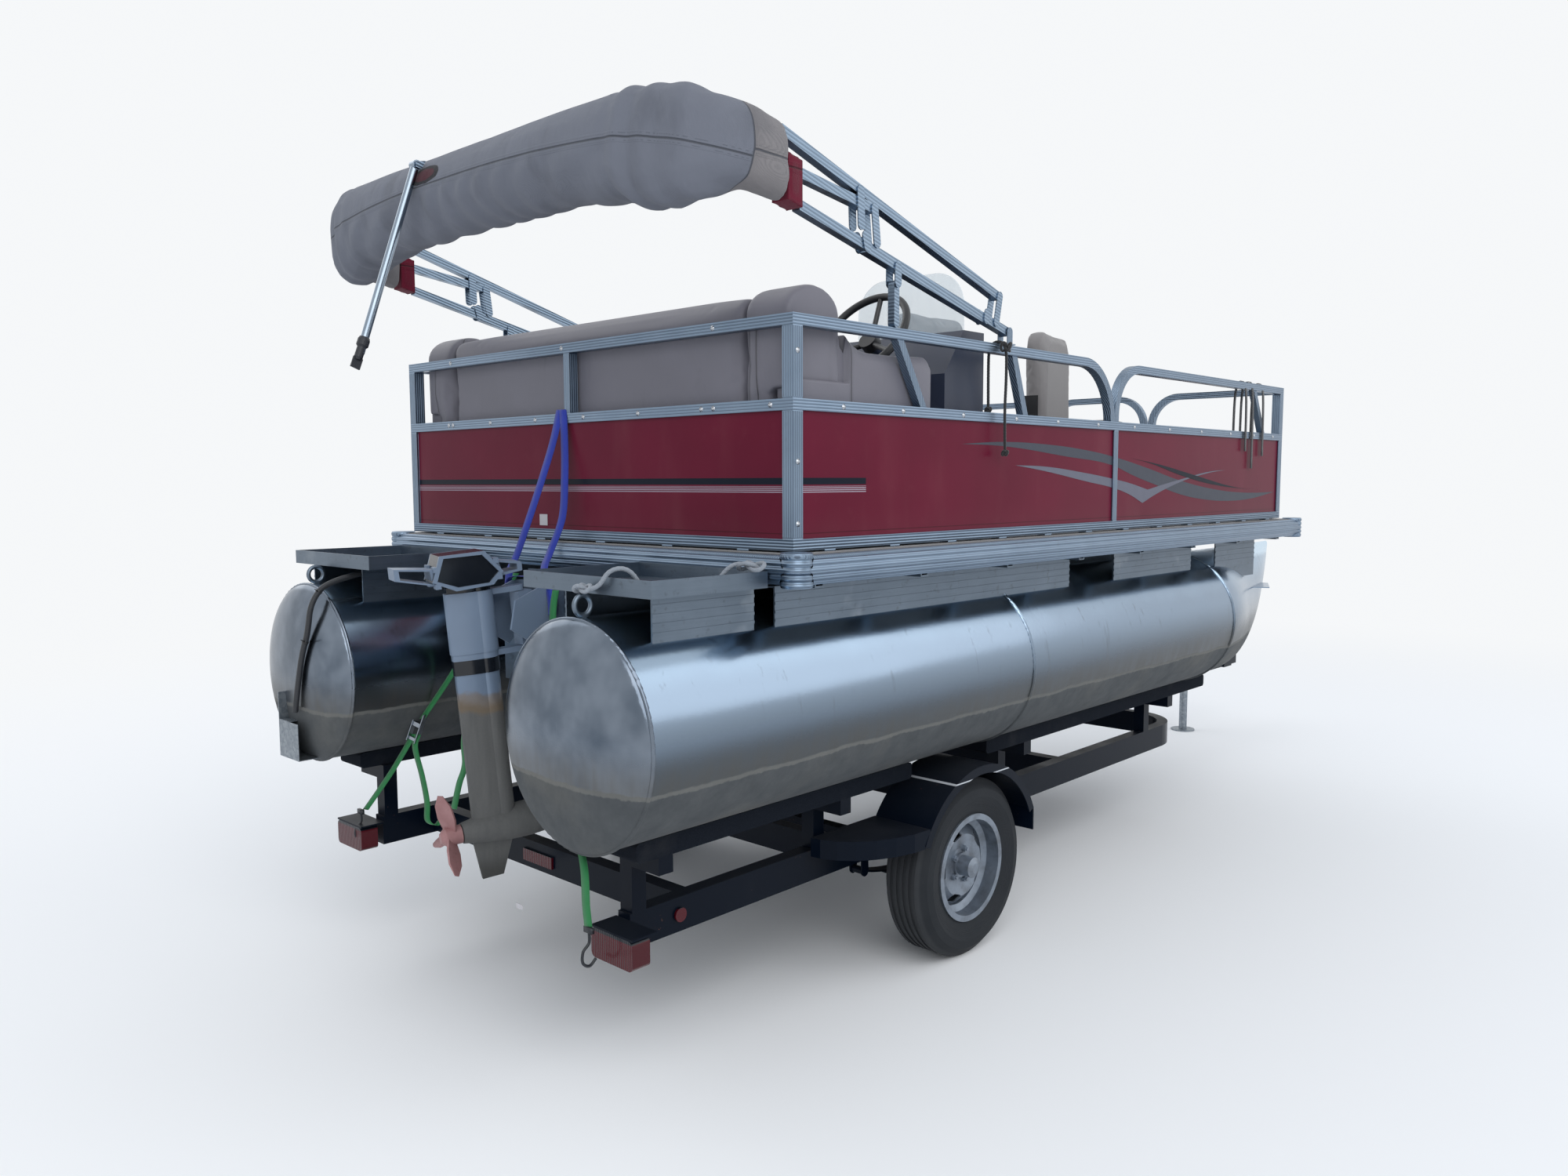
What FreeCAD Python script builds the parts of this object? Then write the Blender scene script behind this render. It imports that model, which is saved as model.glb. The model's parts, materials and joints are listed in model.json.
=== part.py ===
"""Small pontoon boat with a folded bimini and an electric outboard, parked on its bunk trailer.

Sizes are in millimetres. The working frame has X forward with zero at the fence's stern
face, Y to port and Z up from the ground. Every node is moved along X when it is written,
so that the origin lies on the ground under the middle of the whole object.
"""
import FreeCAD, Part
import math
import os

V = FreeCAD.Vector

# Trailer: wheels and frame
tyre_radius = 314.0
tyre_width = 182.0
tyre_shoulder = 34.0
tread_depth = 5.0
tread_grooves = 4
wheel_centre_y = 856.0
rim_flange_radius = 190.0
rim_seat_radius = 176.0
rim_width = 140.0
rim_wall = 7.0
rim_disc_offset = 28.0
rim_slot_count = 5
hub_radius = 62.0
hub_cap_radius = 36.0
hub_cap_length = 62.0
stud_circle_radius = 57.15
stud_radius = 6.5
stud_length = 26.0
axle_x = 1010.0
axle_tube = 50.0
spring_leaf_width = 44.0
spring_leaf_thickness = 7.0
spring_half_length = 330.0
spring_camber = 70.0
frame_rear_x = -352.0
frame_front_x = 3250.0
frame_corner_radius = 260.0
rail_width = 51.0
rail_height = 102.0
rail_outer_y = 715.0
rail_bottom_z = 373.0
cross_member_x = (-126.0, 560.0, 1400.0, 2050.0)
cross_member_width = 51.0
tongue_width = 76.0
tongue_height = 76.0
tongue_rear_x = 2050.0
coupler_length = 240.0
coupler_width = 92.0
coupler_height = 62.0
coupler_latch_length = 90.0
coupler_latch_height = 58.0
coupler_latch_width = 30.0
coupler_tip_x = 5640.0
coupler_ball_radius = 25.4
upright_x = (-318.0, 440.0, 1540.0, 2810.0)
upright_size = 51.0
upright_height = 134.0
bunk_arm_height = 50.0
bunk_thickness = 50.0
bunk_width = 150.0
bunk_centre_y = 755.0
bunk_spans = ((-420.0, 790.0), (1250.0, 3185.0))
bunk_round = 14.0
fender_radius = 366.0
fender_thickness = 6.0
fender_inner_y = 742.0
fender_outer_y = 974.0
fender_lip = 24.0
fender_start_angle = 24.0
fender_end_angle = 154.0
step_pad_length = 330.0
step_pad_height = 62.0
step_pad_top_z = 530.0
fender_bracket = 40.0
flap_length = 80.0
lamp_rear_x = -440.0
lamp_depth = 62.0
lamp_inner_y = 655.0
lamp_outer_y = 830.0
lamp_height = 84.0
lamp_top_z = 452.0
lamp_plate_thickness = 6.0
lamp_round = 16.0
reflector_length = 160.0
reflector_height = 40.0
reflector_depth = 8.0
jack_x = 5060.0
jack_y = 84.0
jack_outer_radius = 30.0
jack_inner_radius = 25.0
jack_outer_length = 560.0
jack_foot_radius = 75.0
jack_foot_thickness = 8.0
jack_lift = 250.0
jack_drop = 100.0
jack_tube_bottom_z = 290.0
jack_wall = 4.0
jack_bracket = 70.0
crank_reach = 130.0
crank_radius = 7.0
crank_grip_radius = 13.0
crank_grip_length = 70.0
winch_post_x = 3960.0
winch_post_size = 64.0
winch_post_top_z = 1400.0
bow_stop_height = 70.0
bow_stop_half_width = 60.0
winch_z = 1120.0
winch_drum_radius = 42.0
winch_drum_width = 60.0
winch_cheek = 5.0
winch_cheek_size = 110.0
winch_crank_length = 170.0

# Floats
log_radius = 304.8
log_centre_y = 751.0
log_stern_x = -550.0
log_cap_bulge = 62.0
log_seam_x = 1200.0
log_nose_x = 2970.0
nose_tip_x = 4150.0
bead_radius = 6.0
riser_half_width = 180.0
riser_top_above_log = 361.0
riser_spans = ((7.0, 1654.0), (2017.0, 2758.0), (3030.0, 3508.0))
riser_wall = 5.0
riser_rib = 2.0
riser_rib_count = 4
tray_span = (-485.0, -72.0)
tray_riser_span = (-442.0, -76.0)
tray_inner_y = 440.0
tray_outer_y = 980.0
tray_height = 46.0
tray_wall = 5.0
tray_top_above_riser = 50.0
eye_ring_radius = 26.0
eye_ring_wire = 7.0
eye_x = -520.0
fin_thickness = 5.0

# Deck
deck_thickness = 19.0
cross_channel_height = 76.0
cross_channel_width = 38.0
cross_channel_count = 8
cross_channel_wall = 5.0
deck_rear_x = -32.0
deck_front_x = 3700.0
deck_half_width = 1050.0
rub_rail_height = 85.0
rub_rail_reach = 40.0
rub_rail_half_width = deck_half_width + rub_rail_reach
rub_rail_rear_x = deck_rear_x - rub_rail_reach
rub_rail_front_x = deck_front_x + rub_rail_reach
rub_rib_count = 5
rub_rib_depth = 4.0
corner_cap_radius = 46.0
corner_cap_height = 96.0
corner_cap_ribs = 5

# Fence
fence_length = 3620.0
fence_inset = 42.0
fence_half_width = deck_half_width - fence_inset
fence_height = 644.0
fence_foot_gap = 6.0
fence_tube = 32.0
corner_post = 40.0
trim_top = 416.0
panel_thickness = 4.0
side_post_x = 1862.0
aft_bend_radius = 220.0
fore_bend_radius = 190.0
loop_join_height = 470.0
brace_width = 32.0
brace_tops = (481.0, 1120.0, 3259.0)
brace_feet = (600.0, 1195.0, 3376.0)
foot_spacing = 310.0
foot_length = 46.0
gate_half_width = 300.0
gate_gap = 12.0
gate_bend_radius = 150.0

# Seats
bench_base_height = 330.0
bench_depth = 560.0
cushion_thickness = 95.0
bench_back_thickness = 200.0
bench_back_top = 730.0
side_arm_end_x = 720.0
side_arm_thickness = 80.0
side_arm_top = 590.0
seat_gap = 3.0
chair_places = ((1440.0, -250.0, 90.0), (2350.0, -600.0, -76.0))
chair_pedestal_radius = 36.0
chair_base_radius = 110.0
chair_plate = 6.0
chair_post_height = 330.0
chair_seat_width = 430.0
chair_seat_depth = 400.0
chair_seat_thickness = 85.0
chair_back_height = 400.0
chair_back_thickness = 80.0
chair_back_lean = 8.0

# Helm
console_rear_x = 860.0
console_front_x = 1090.0
console_inner_y = -380.0
console_outer_y = -900.0
console_height = 700.0
console_dash_drop = 150.0
console_wall = 8.0
screen_height = 210.0
screen_thickness = 5.0
wheel_rim_radius = 178.0
wheel_rim_wire = 13.0
helm_y = -630.0
helm_rake = 35.0
helm_wheel_rise = 690.0
helm_wheel_x = 770.0

# Outboard
steer_angle = -16.0
trim_angle = -5.5
steer_axis_x = -205.0
tilt_axis_x = -170.0
tilt_axis_z = 1300.0
tilt_tube_radius = 9.0
steer_tube_radius = 12.0
pin_clearance = 0.3
swivel_half_width = 24.0
swivel_bottom_z = 1150.0
swivel_top_z = 1324.0
clamp_plate_y = 88.0
clamp_plate_thickness = 8.0
clamp_reach_x = -300.0
clamp_hook = 45.0
clamp_rise = 20.0
clamp_screw_radius = 6.0
clamp_pad_radius = 18.0
transom_x = -150.0
transom_thickness = 40.0
transom_half_width = 170.0
transom_top_z = 1325.0
transom_pocket_length = 60.0
transom_pocket_z = 1190.0
pod_bottom_z = 1010.0
pod_keel_x = 120.0
pod_front_x = 420.0
column_chord = 140.0
column_width = 62.0
column_behind_axis = 230.0
collar_grow = 6.0
column_top_z = 1345.0
collar_bottom_z = 1150.0
collar_arm_height = 18.0
collar_arm_width = 34.0
arm_clearance = 2.0
band_height = 46.0
drive_axis_z = 572.0
drive_radius = 53.0
drive_rear_x = -268.0
drive_length = 400.0
drive_nose_length = 120.0
skeg_bottom_z = 405.0
skeg_thickness = 12.0
skeg_outline = ((-237.0, 540.0), (-219.0, 405.0), (-150.0, 405.0), (-100.0, 540.0))
propeller_radius = 146.0
propeller_hub_radius = 30.0
propeller_hub_length = 66.0
propeller_gap = 3.0
propeller_shaft_radius = 8.0
blade_count = 3
blade_thickness = 6.0
blade_root_width = 48.0
blade_tip_width = 20.0
blade_pitch = 38.0
head_outline = ((-278.0, 1392.0), (-250.0, 1470.0), (-110.0, 1470.0), (-57.0, 1400.0), (-92.0, 1362.0), (-210.0, 1357.0))
head_width = 112.0
head_frame = 14.0
head_frame_depth = 8.0
aft_handle = ((-264.0, 1430.0), (-386.0, 1446.0), (-386.0, 1410.0), (-262.0, 1378.0))
fore_handle = ((-78.0, 1436.0), (8.0, 1420.0), (8.0, 1392.0), (-70.0, 1384.0))
handle_tube = 16.0
handle_half_width = 40.0

# Bimini
mount_x = 1065.0
mount_rise = 42.0
bow_side_y = 1000.0
bow_tube = 28.0
main_bow_angle = 13.0
main_bow_length = 1010.0
front_bow_angle = 16.5
front_bow_length = 1040.0
front_bow_foot = (1004.0, 2272.0)
aux_bow_foot = (340.0, 2444.0)
aux_bow_end = (85.0, 2478.0)
strut_top = (-414.0, 2640.0)
strut_y = 190.0
strut_length = 620.0
strut_lean = 19.0
strut_radius = 12.5
boot_end_x = -45.0
leg_pivot = (452.0, 2245.0)
leg_radius = 12.0

# Float and riser details
cap_steps = 6
seat_play = 0.2
nose_shares = (
    (0.0, 1.0, -1.0, 1.0),
    (0.28, 0.79, -0.99, 1.005),
    (0.534, 0.525, -0.872, 1.02),
    (0.67, 0.4, -0.57, 1.03),
    (0.788, 0.28, -0.127, 1.035),
    (0.924, 0.12, 0.44, 1.037),
    (1.0, 0.03, 0.9, 1.04),
)
riser_rib_pitch = 24.0
riser_rib_height = 8.0
fin_x = 3520.0
fin_z = 1120.0
fin_corners = ((0.0, 60.0, 0.0), (330.0, -20.0, 0.0), (330.0, 130.0, 0.0), (80.0, 230.0, 0.0))
cross_channel_first_x = 60.0
cross_channel_last_x = 3490.0
rub_flat_share = 0.25

# Fence, seat and helm details
brace_inset = 3.0
side_foot_count = 12
end_foot_count = 6
bow_foot_count = 3
gate_hinge_shares = (0.2, 0.8)
hinge_height = 44.0
hinge_radius = 5.0
hinge_pin = 2.5
hinge_play = 0.4
hinge_leaf = 3.0
panel_inset = 8.0
bench_rear_x = 46.0
bench_half_width = 880.0
cushion_gap = 6.0
cushion_round = 22.0
cushion_nose = 24.0
back_round = 40.0
bolster_width = 260.0
bolster_rise = 14.0
arm_end_round = 60.0
arm_end_share = 0.29
scoop_share = 0.3
chair_swivel_gap = 0.3
chair_swivel_height = 22.0
chair_bracket_y = 120.0
chair_bracket_thickness = 6.0
chair_bracket_width = 60.0
chair_bracket_height = 210.0
chair_plate_inset = 60.0
chair_round = 24.0
chair_back_round = 70.0
chair_edge_round = 14.0
console_dash_run = 110.0
helm_hub_radius = 34.0
helm_hub_length = 36.0
helm_dish = 40.0
helm_spoke_count = 3
helm_spoke_radius = 9.0
helm_column_radius = 20.0
helm_column_length = 190.0
screen_inset = 30.0
screen_x = 1010.0
screen_corner_radius = 120.0

# Outboard and bimini details
clamp_depth = 150.0
clamp_foot = 36.0
clamp_heel = 90.0
clamp_lip = 12.0
clamp_screw_length = 50.0
swivel_wall = 18.0
swivel_front = 14.0
swivel_ear_y = 84.0
swivel_ear_radius = 15.0
foil_crown_share = 0.62
foil_mid_share = 0.82
foil_tail_share = 0.34
shaft_share = 0.7
hub_cone_share = 0.75
hub_tip_share = 0.5
blade_shares = ((0.0, 1.0, 0.9), (0.35, 1.3, 1.1), (0.7, 1.1, 1.3), (1.0, 0.35, 1.4))
blade_rake = 22.0
blade_start_angle = 8.0
head_neck_top_z = 1364.0
length_margin = 400.0
mount_half_length = 34.0
ear_y = 16.0
ear_thickness = 4.0
ear_half_length = 15.0
pivot_pin_radius = 4.0
cuff_front_x = 22.0
cuff_half_width = 34.0
cuff_low_z = 2400.0
cuff_high_z = 2530.0
cuff_drop = 14.0
lower_bow_foot = (926.0, 2190.0)
lower_bow_end = (308.0, 2332.0)
bracket_radius = 15.0
bracket_pairs = (
    ((340.0, 2444.0), (352.0, 2350.0)),
    ((308.0, 2332.0), (300.0, 2362.0)),
    ((1004.0, 2272.0), (985.0, 2186.0)),
    ((926.0, 2190.0), (930.0, 2210.0)),
    ((276.0, 2483.0), (280.0, 2390.0)),
    ((452.0, 2296.0), (452.0, 2250.0)),
)
leg_foot_gap = 0.3
leg_block = 24.0
boot_ring_count = 16
boot_square_share = 0.8
boot_stations = (
    (-45.0, 1000.0, 2500.0, 90.0, 50.0, 105.0),
    (-150.0, 985.0, 2520.0, 70.0, 80.0, 112.0),
    (-245.0, 890.0, 2538.0, 35.0, 105.0, 130.0),
    (-285.0, 720.0, 2545.0, 10.0, 118.0, 148.0),
    (-295.0, 450.0, 2562.0, 0.0, 118.0, 130.0),
    (-295.0, 0.0, 2565.0, 0.0, 118.0, 128.0),
)
strut_bracket_reach = 24.0
strut_eye_radius = 15.0

# Trailer details
cross_member_rise = 8.0
hanger_play = 1.0
hanger_plate = 5.0
hanger_half_length = 18.0
spring_eye_z = 334.0
spring_eye_radius = 13.0
spring_pin_radius = 6.0
spring_leaf_shares = (1.0, 0.62)
step_pad_shares = (0.0, 0.15, 0.3, 0.45, 0.6, 0.75, 0.9, 1.0)
step_overlap = 20.0
bunk_dish = 6.0
axle_beam_half = 742.0
spindle_end_y = 872.0
spindle_radius = 19.0
rim_well_depth = 22.0
hub_bore_radius = 44.0
hub_depth = 60.0
hub_flange = 8.0
nut_radius = 11.0
disc_crown_radius = 110.0
disc_crown_rise = 10.0
slot_turn_share = 0.5
slot_inner_radius = 104.0
slot_outer_radius = 134.0
slot_half_width = 26.0
slot_round = 10.0
crank_run_share = 0.8
crank_rise_share = 0.6
marker_x = -169.0
marker_radius = 21.0
coupler_wall = 5.0
jack_leg_top_z = 560.0
service_box_x = -700.0
service_box_depth = 60.0
service_box_y = 600.0
service_box_width = 180.0
service_box_z = 720.0
service_box_height = 230.0

# Derived levels
log_centre_z = rail_bottom_z + rail_height + upright_height + bunk_arm_height + bunk_thickness + log_radius
riser_top_z = log_centre_z + riser_top_above_log
deck_top_z = riser_top_z + cross_channel_height + deck_thickness
fence_bottom_z = deck_top_z + fence_foot_gap
fence_top_z = fence_bottom_z + fence_height
trim_top_z = fence_bottom_z + trim_top
tray_top_z = riser_top_z + tray_top_above_riser
rub_rail_mid_z = deck_top_z - rub_rail_height / 2

print("log centre", log_centre_z, "deck", deck_top_z, "fence top", fence_top_z)


def box(x0, x1, y0, y1, z0, z1):
    """Block between two corners given axis by axis."""
    return Part.makeBox(x1 - x0, y1 - y0, z1 - z0, V(x0, y0, z0))


def rod(start, end, radius):
    """Round bar between two points."""
    run = end - start
    return Part.makeCylinder(radius, run.Length, start, run)


def prism(points, push):
    """Flat outline pushed along a vector."""
    return Part.Face(Part.makePolygon(points + [points[0]])).extrude(push)


def side_prism(outline, y0, y1):
    """Outline of (x, z) pairs filled between two planes across the boat."""
    return prism([V(x, y0, z) for x, z in outline], V(0, y1 - y0, 0))


def plan_prism(outline, z0, z1):
    """Outline of (x, y) pairs filled between two levels."""
    return prism([V(x, y, z0) for x, y in outline], V(0, 0, z1 - z0))


def end_prism(outline, x0, x1):
    """Outline of (y, z) pairs filled between two stations along the boat."""
    return prism([V(x0, y, z) for y, z in outline], V(x1 - x0, 0, 0))


def join(shapes):
    """One welded solid from overlapping or touching shapes."""
    return shapes[0].multiFuse(shapes[1:]).removeSplitter()


def group(shapes):
    """Separate solids kept side by side in one node."""
    return Part.makeCompound(shapes)


def mirrored(shape):
    """The same shape on the other side of the centre plane."""
    return shape.mirror(V(0, 0, 0), V(0, 1, 0))


def both_sides(shape):
    return group([shape, mirrored(shape)])


def spaced(first, last, count):
    """Evenly spaced stations, ends included."""
    return [first + (last - first) * i / (count - 1) for i in range(count)]


def route(corners, bend):
    """Open path of straight runs with a tangent arc at every inner corner."""
    edges = []
    start = corners[0]
    for before, corner, after in zip(corners, corners[1:], corners[2:]):
        back = (before - corner).normalize()
        ahead = (after - corner).normalize()
        half = back.getAngle(ahead) / 2
        cut = bend / math.tan(half)
        enter = corner + back * cut
        leave = corner + ahead * cut
        middle = corner + (back + ahead).normalize() * (bend / math.sin(half) - bend)
        edges.append(Part.makeLine(start, enter))
        edges.append(Part.Arc(enter, middle, leave).toShape())
        start = leave
    edges.append(Part.makeLine(start, corners[-1]))
    return Part.Wire(edges)


def square_tube(corners, bend, side, up, width, height):
    """Rectangular bar swept along a bent path; side and up are its first section axes."""
    start = corners[0]
    rim = [start + side * (width * a / 2) + up * (height * b / 2) for a, b in ((-1, -1), (1, -1), (1, 1), (-1, 1))]
    return route(corners, bend).makePipeShell([Part.makePolygon(rim + [rim[0]])], True, False)


def pipe(corners, bend, radius):
    """Round bar swept along a bent path."""
    ring = Part.Wire(Part.makeCircle(radius, corners[0], corners[1] - corners[0]))
    return route(corners, bend).makePipeShell([ring], True, False)


def turned(outline, base, axis, turn=360):
    """Profile of (radius, height) pairs turned about the upright axis, then stood on an axis."""
    ring = [V(r, 0, h) for r, h in outline]
    body = Part.Face(Part.makePolygon(ring + [ring[0]])).revolve(V(0, 0, 0), V(0, 0, 1), turn)
    body.Placement = FreeCAD.Placement(base, FreeCAD.Rotation(V(0, 0, 1), axis))
    return body


def rounded(shape, radius, along=None):
    """Edges softened, all of them or only those that run along one axis."""
    edges = []
    for edge in shape.Edges:
        run = edge.valueAt(edge.LastParameter) - edge.valueAt(edge.FirstParameter)
        if along is None or run.normalize().isEqual(along, 1e-6) or run.isEqual(-along, 1e-6):
            edges.append(edge)
    return shape.makeFillet(radius, edges)


X = V(1, 0, 0)
Y = V(0, 1, 0)
Z = V(0, 0, 1)


# ---- Floats


def nose_ring(station, grow):
    """Oval section of the nose cone at one station."""
    along, wide, low, high = station
    centre = V(log_nose_x + along * (nose_tip_x - log_nose_x), 0, log_centre_z + (low + high) * log_radius / 2)
    half_high = (high - low) * log_radius / 2 + grow
    half_wide = wide * log_radius + grow
    if half_wide >= half_high:
        half_wide = half_high - 1e-3
    oval = Part.Ellipse(centre + Z * half_high, centre + Y * half_wide, centre)
    return Part.Wire(oval.toShape())


def float_solid(grow):
    """One sealed tube with a dished stern cap and a drawn-out nose, on the centre plane."""
    radius = log_radius + grow
    cap = []
    for i in range(cap_steps + 1):
        angle = math.pi / 2 * i / cap_steps
        cap.append(V(log_stern_x - log_cap_bulge * math.cos(angle), 0, log_centre_z + radius * math.sin(angle)))
    dish = Part.BSplineCurve()
    dish.interpolate(cap, InitialTangent=Z, FinalTangent=X)
    end = V(log_nose_x, 0, log_centre_z + radius)
    floor = V(log_nose_x, 0, log_centre_z)
    outline = Part.Wire([dish.toShape(), Part.makeLine(cap[-1], end), Part.makeLine(end, floor), Part.makeLine(floor, cap[0])])
    body = Part.Face(outline).revolve(floor, X, 360)
    nose = Part.makeLoft([nose_ring(station, grow) for station in nose_shares], True, False)
    beads = [Part.makeTorus(radius, bead_radius, V(x, 0, log_centre_z), X) for x in (log_stern_x, log_seam_x, log_nose_x)]
    return join([body, nose] + beads)


def on_log(shape):
    """Move a shape built on the centre plane to the port float."""
    moved = shape.copy()
    moved.translate(Y * log_centre_y)
    return moved


def pontoons():
    return both_sides(on_log(float_solid(0)))


def riser(span, top):
    """Upside-down channel with pressed ribs, its feet cut to the float."""
    x0, x1 = span
    low = log_centre_z + riser_half_width
    shell = box(x0, x1, -riser_half_width, riser_half_width, low, top)
    inside = box(x0, x1, -riser_half_width + riser_wall, riser_half_width - riser_wall, low, top - riser_wall)
    shell = shell.cut(inside)
    ribs = []
    for z in spaced(top - riser_rib_pitch, top - riser_rib_count * riser_rib_pitch, riser_rib_count):
        for side in (-1, 1):
            y = side * riser_half_width
            ribs.append(box(x0, x1, min(y, y + side * riser_rib), max(y, y + side * riser_rib), z - riser_rib_height / 2, z + riser_rib_height / 2))
    return join([shell] + ribs).cut(log_cutter)


def risers():
    shapes = [riser(span, riser_top_z) for span in riser_spans]
    shapes.append(riser(tray_riser_span, tray_top_z - tray_height))
    shapes = [on_log(shape) for shape in shapes]
    return group(shapes + [mirrored(shape) for shape in shapes])


def stern_trays():
    x0, x1 = tray_span
    low = tray_top_z - tray_height
    tray = box(x0, x1, tray_inner_y, tray_outer_y, low, tray_top_z)
    well = box(x0 + tray_wall, x1 - tray_wall, tray_inner_y + tray_wall, tray_outer_y - tray_wall, low + tray_wall, tray_top_z)
    return both_sides(tray.cut(well))


def eye_rings():
    ring_z = log_centre_z + log_radius + eye_ring_radius + eye_ring_wire
    ring = Part.makeTorus(eye_ring_radius, eye_ring_wire, V(eye_x, log_centre_y, ring_z), Y)
    wire = eye_ring_wire
    foot_z = log_centre_z + log_radius - wire
    foot = box(eye_x - wire, eye_x + wire, log_centre_y - wire, log_centre_y + wire, foot_z, ring_z - eye_ring_radius + wire / 2)
    ring = join([ring, foot]).cut(on_log(log_cutter))
    return both_sides(ring)


def nose_fins():
    """Spray fin welded to the outer side of each nose."""
    points = [V(fin_x + a, log_centre_y + b, fin_z + c) for a, b, c in fin_corners]
    fin = prism(points, V(0, 0, fin_thickness)).cut(on_log(log_cutter))
    return both_sides(fin.Solids[0])


# ---- Deck


def deck_channels():
    shapes = []
    for x in spaced(cross_channel_first_x, cross_channel_last_x, cross_channel_count):
        half = cross_channel_width / 2
        wall = cross_channel_wall
        tube = box(x - half, x + half, -deck_half_width, deck_half_width, riser_top_z, riser_top_z + cross_channel_height)
        bore = box(x - half + wall, x + half - wall, -deck_half_width, deck_half_width, riser_top_z + wall, riser_top_z + cross_channel_height - wall)
        shapes.append(tube.cut(bore))
    return group(shapes)


def corner_stations():
    reach = rub_rail_half_width - corner_cap_radius
    return [(x, y) for x in (rub_rail_rear_x + corner_cap_radius, rub_rail_front_x - corner_cap_radius) for y in (reach, -reach)]


def corner_cores(grow):
    low = rub_rail_mid_z - corner_cap_height / 2 - grow
    return [Part.makeCylinder(corner_cap_radius + grow, corner_cap_height + 2 * grow, V(x, y, low)) for x, y in corner_stations()]


def deck():
    floor = box(deck_rear_x, deck_front_x, -deck_half_width, deck_half_width, deck_top_z - deck_thickness, deck_top_z)
    return floor.cut(group(corner_cores(0)))


def reeded(base, out, up, reach, height, count, depth):
    """Half-round outline with shallow reeds, as arcs between points on an oval."""
    flat = base + out * (reach * rub_flat_share)
    points = []
    for i in range(2 * count + 1):
        angle = -math.pi / 2 + math.pi * i / (2 * count)
        swell = depth if i % 2 else 0
        away = (reach * (1 - rub_flat_share) - depth + swell) * math.cos(angle)
        rise = (height / 2 - depth + swell) * math.sin(angle)
        points.append(flat + out * away + up * rise)
    edges = [Part.makeLine(base - up * (height / 2 - depth), points[0])]
    for a, b, c in zip(points[::2], points[1::2], points[2::2]):
        edges.append(Part.Arc(a, b, c).toShape())
    edges.append(Part.makeLine(points[-1], base + up * (height / 2 - depth)))
    edges.append(Part.makeLine(base + up * (height / 2 - depth), base - up * (height / 2 - depth)))
    return Part.Face(Part.Wire(edges))


def rub_rail():
    reach = rub_rail_half_width - deck_half_width
    rear_x = rub_rail_rear_x + corner_cap_radius
    front_x = rub_rail_front_x - corner_cap_radius
    half = rub_rail_half_width - corner_cap_radius
    side = reeded(V(rear_x, deck_half_width, rub_rail_mid_z), Y, Z, reach, rub_rail_height, rub_rib_count, rub_rib_depth)
    side = side.extrude(X * (front_x - rear_x))
    stern = reeded(V(deck_rear_x, -half, rub_rail_mid_z), -X, Z, deck_rear_x - rub_rail_rear_x, rub_rail_height, rub_rib_count, rub_rib_depth)
    stern = stern.extrude(Y * (2 * half))
    bow = reeded(V(deck_front_x, -half, rub_rail_mid_z), X, Z, rub_rail_front_x - deck_front_x, rub_rail_height, rub_rib_count, rub_rib_depth)
    bow = bow.extrude(Y * (2 * half))
    cores = group(corner_cores(0))
    return group([shape.cut(cores) for shape in (side, mirrored(side), stern, bow)])


def corner_caps():
    """Upright reeded barrels that close the rub rail at the four corners."""
    shapes = []
    pitch = corner_cap_height / corner_cap_ribs
    low = rub_rail_mid_z - corner_cap_height / 2
    for x, y in corner_stations():
        edges = [Part.makeLine(V(x, y, low), V(x + corner_cap_radius - rub_rib_depth, y, low))]
        for i in range(corner_cap_ribs):
            foot = V(x + corner_cap_radius - rub_rib_depth, y, low + pitch * i)
            edges.append(Part.Arc(foot, foot + V(rub_rib_depth, 0, pitch / 2), foot + Z * pitch).toShape())
        top = V(x + corner_cap_radius - rub_rib_depth, y, low + corner_cap_height)
        edges.append(Part.makeLine(top, V(x, y, low + corner_cap_height)))
        edges.append(Part.makeLine(V(x, y, low + corner_cap_height), V(x, y, low)))
        shapes.append(Part.Face(Part.Wire(edges)).revolve(V(x, y, low), Z, 360))
    return shapes


def motor_pod():
    """Boxed transom pod under the stern, with a pocket behind the clamp."""
    half = transom_half_width
    top = riser_top_z
    rear = transom_x
    outline = [(rear, pod_bottom_z), (pod_keel_x, pod_bottom_z), (pod_front_x, top), (rub_rail_rear_x, top), (rear, transom_top_z)]
    body = side_prism(outline, -half, half)
    pocket_x = rear + transom_thickness
    pocket = box(pocket_x, pocket_x + transom_pocket_length, -half, half, transom_pocket_z, top)
    above = box(rear, pocket_x, -half, half, transom_top_z, top)
    return body.cut(pocket).cut(above)


# ---- Fence


def rail_levels():
    """Lower edges of the bottom, trim and top rails."""
    return fence_bottom_z, trim_top_z - fence_tube, fence_top_z - fence_tube


def fence_feet(stations, place):
    return [place(s - foot_length / 2, s + foot_length / 2, deck_top_z, fence_bottom_z) for s in stations]


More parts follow.
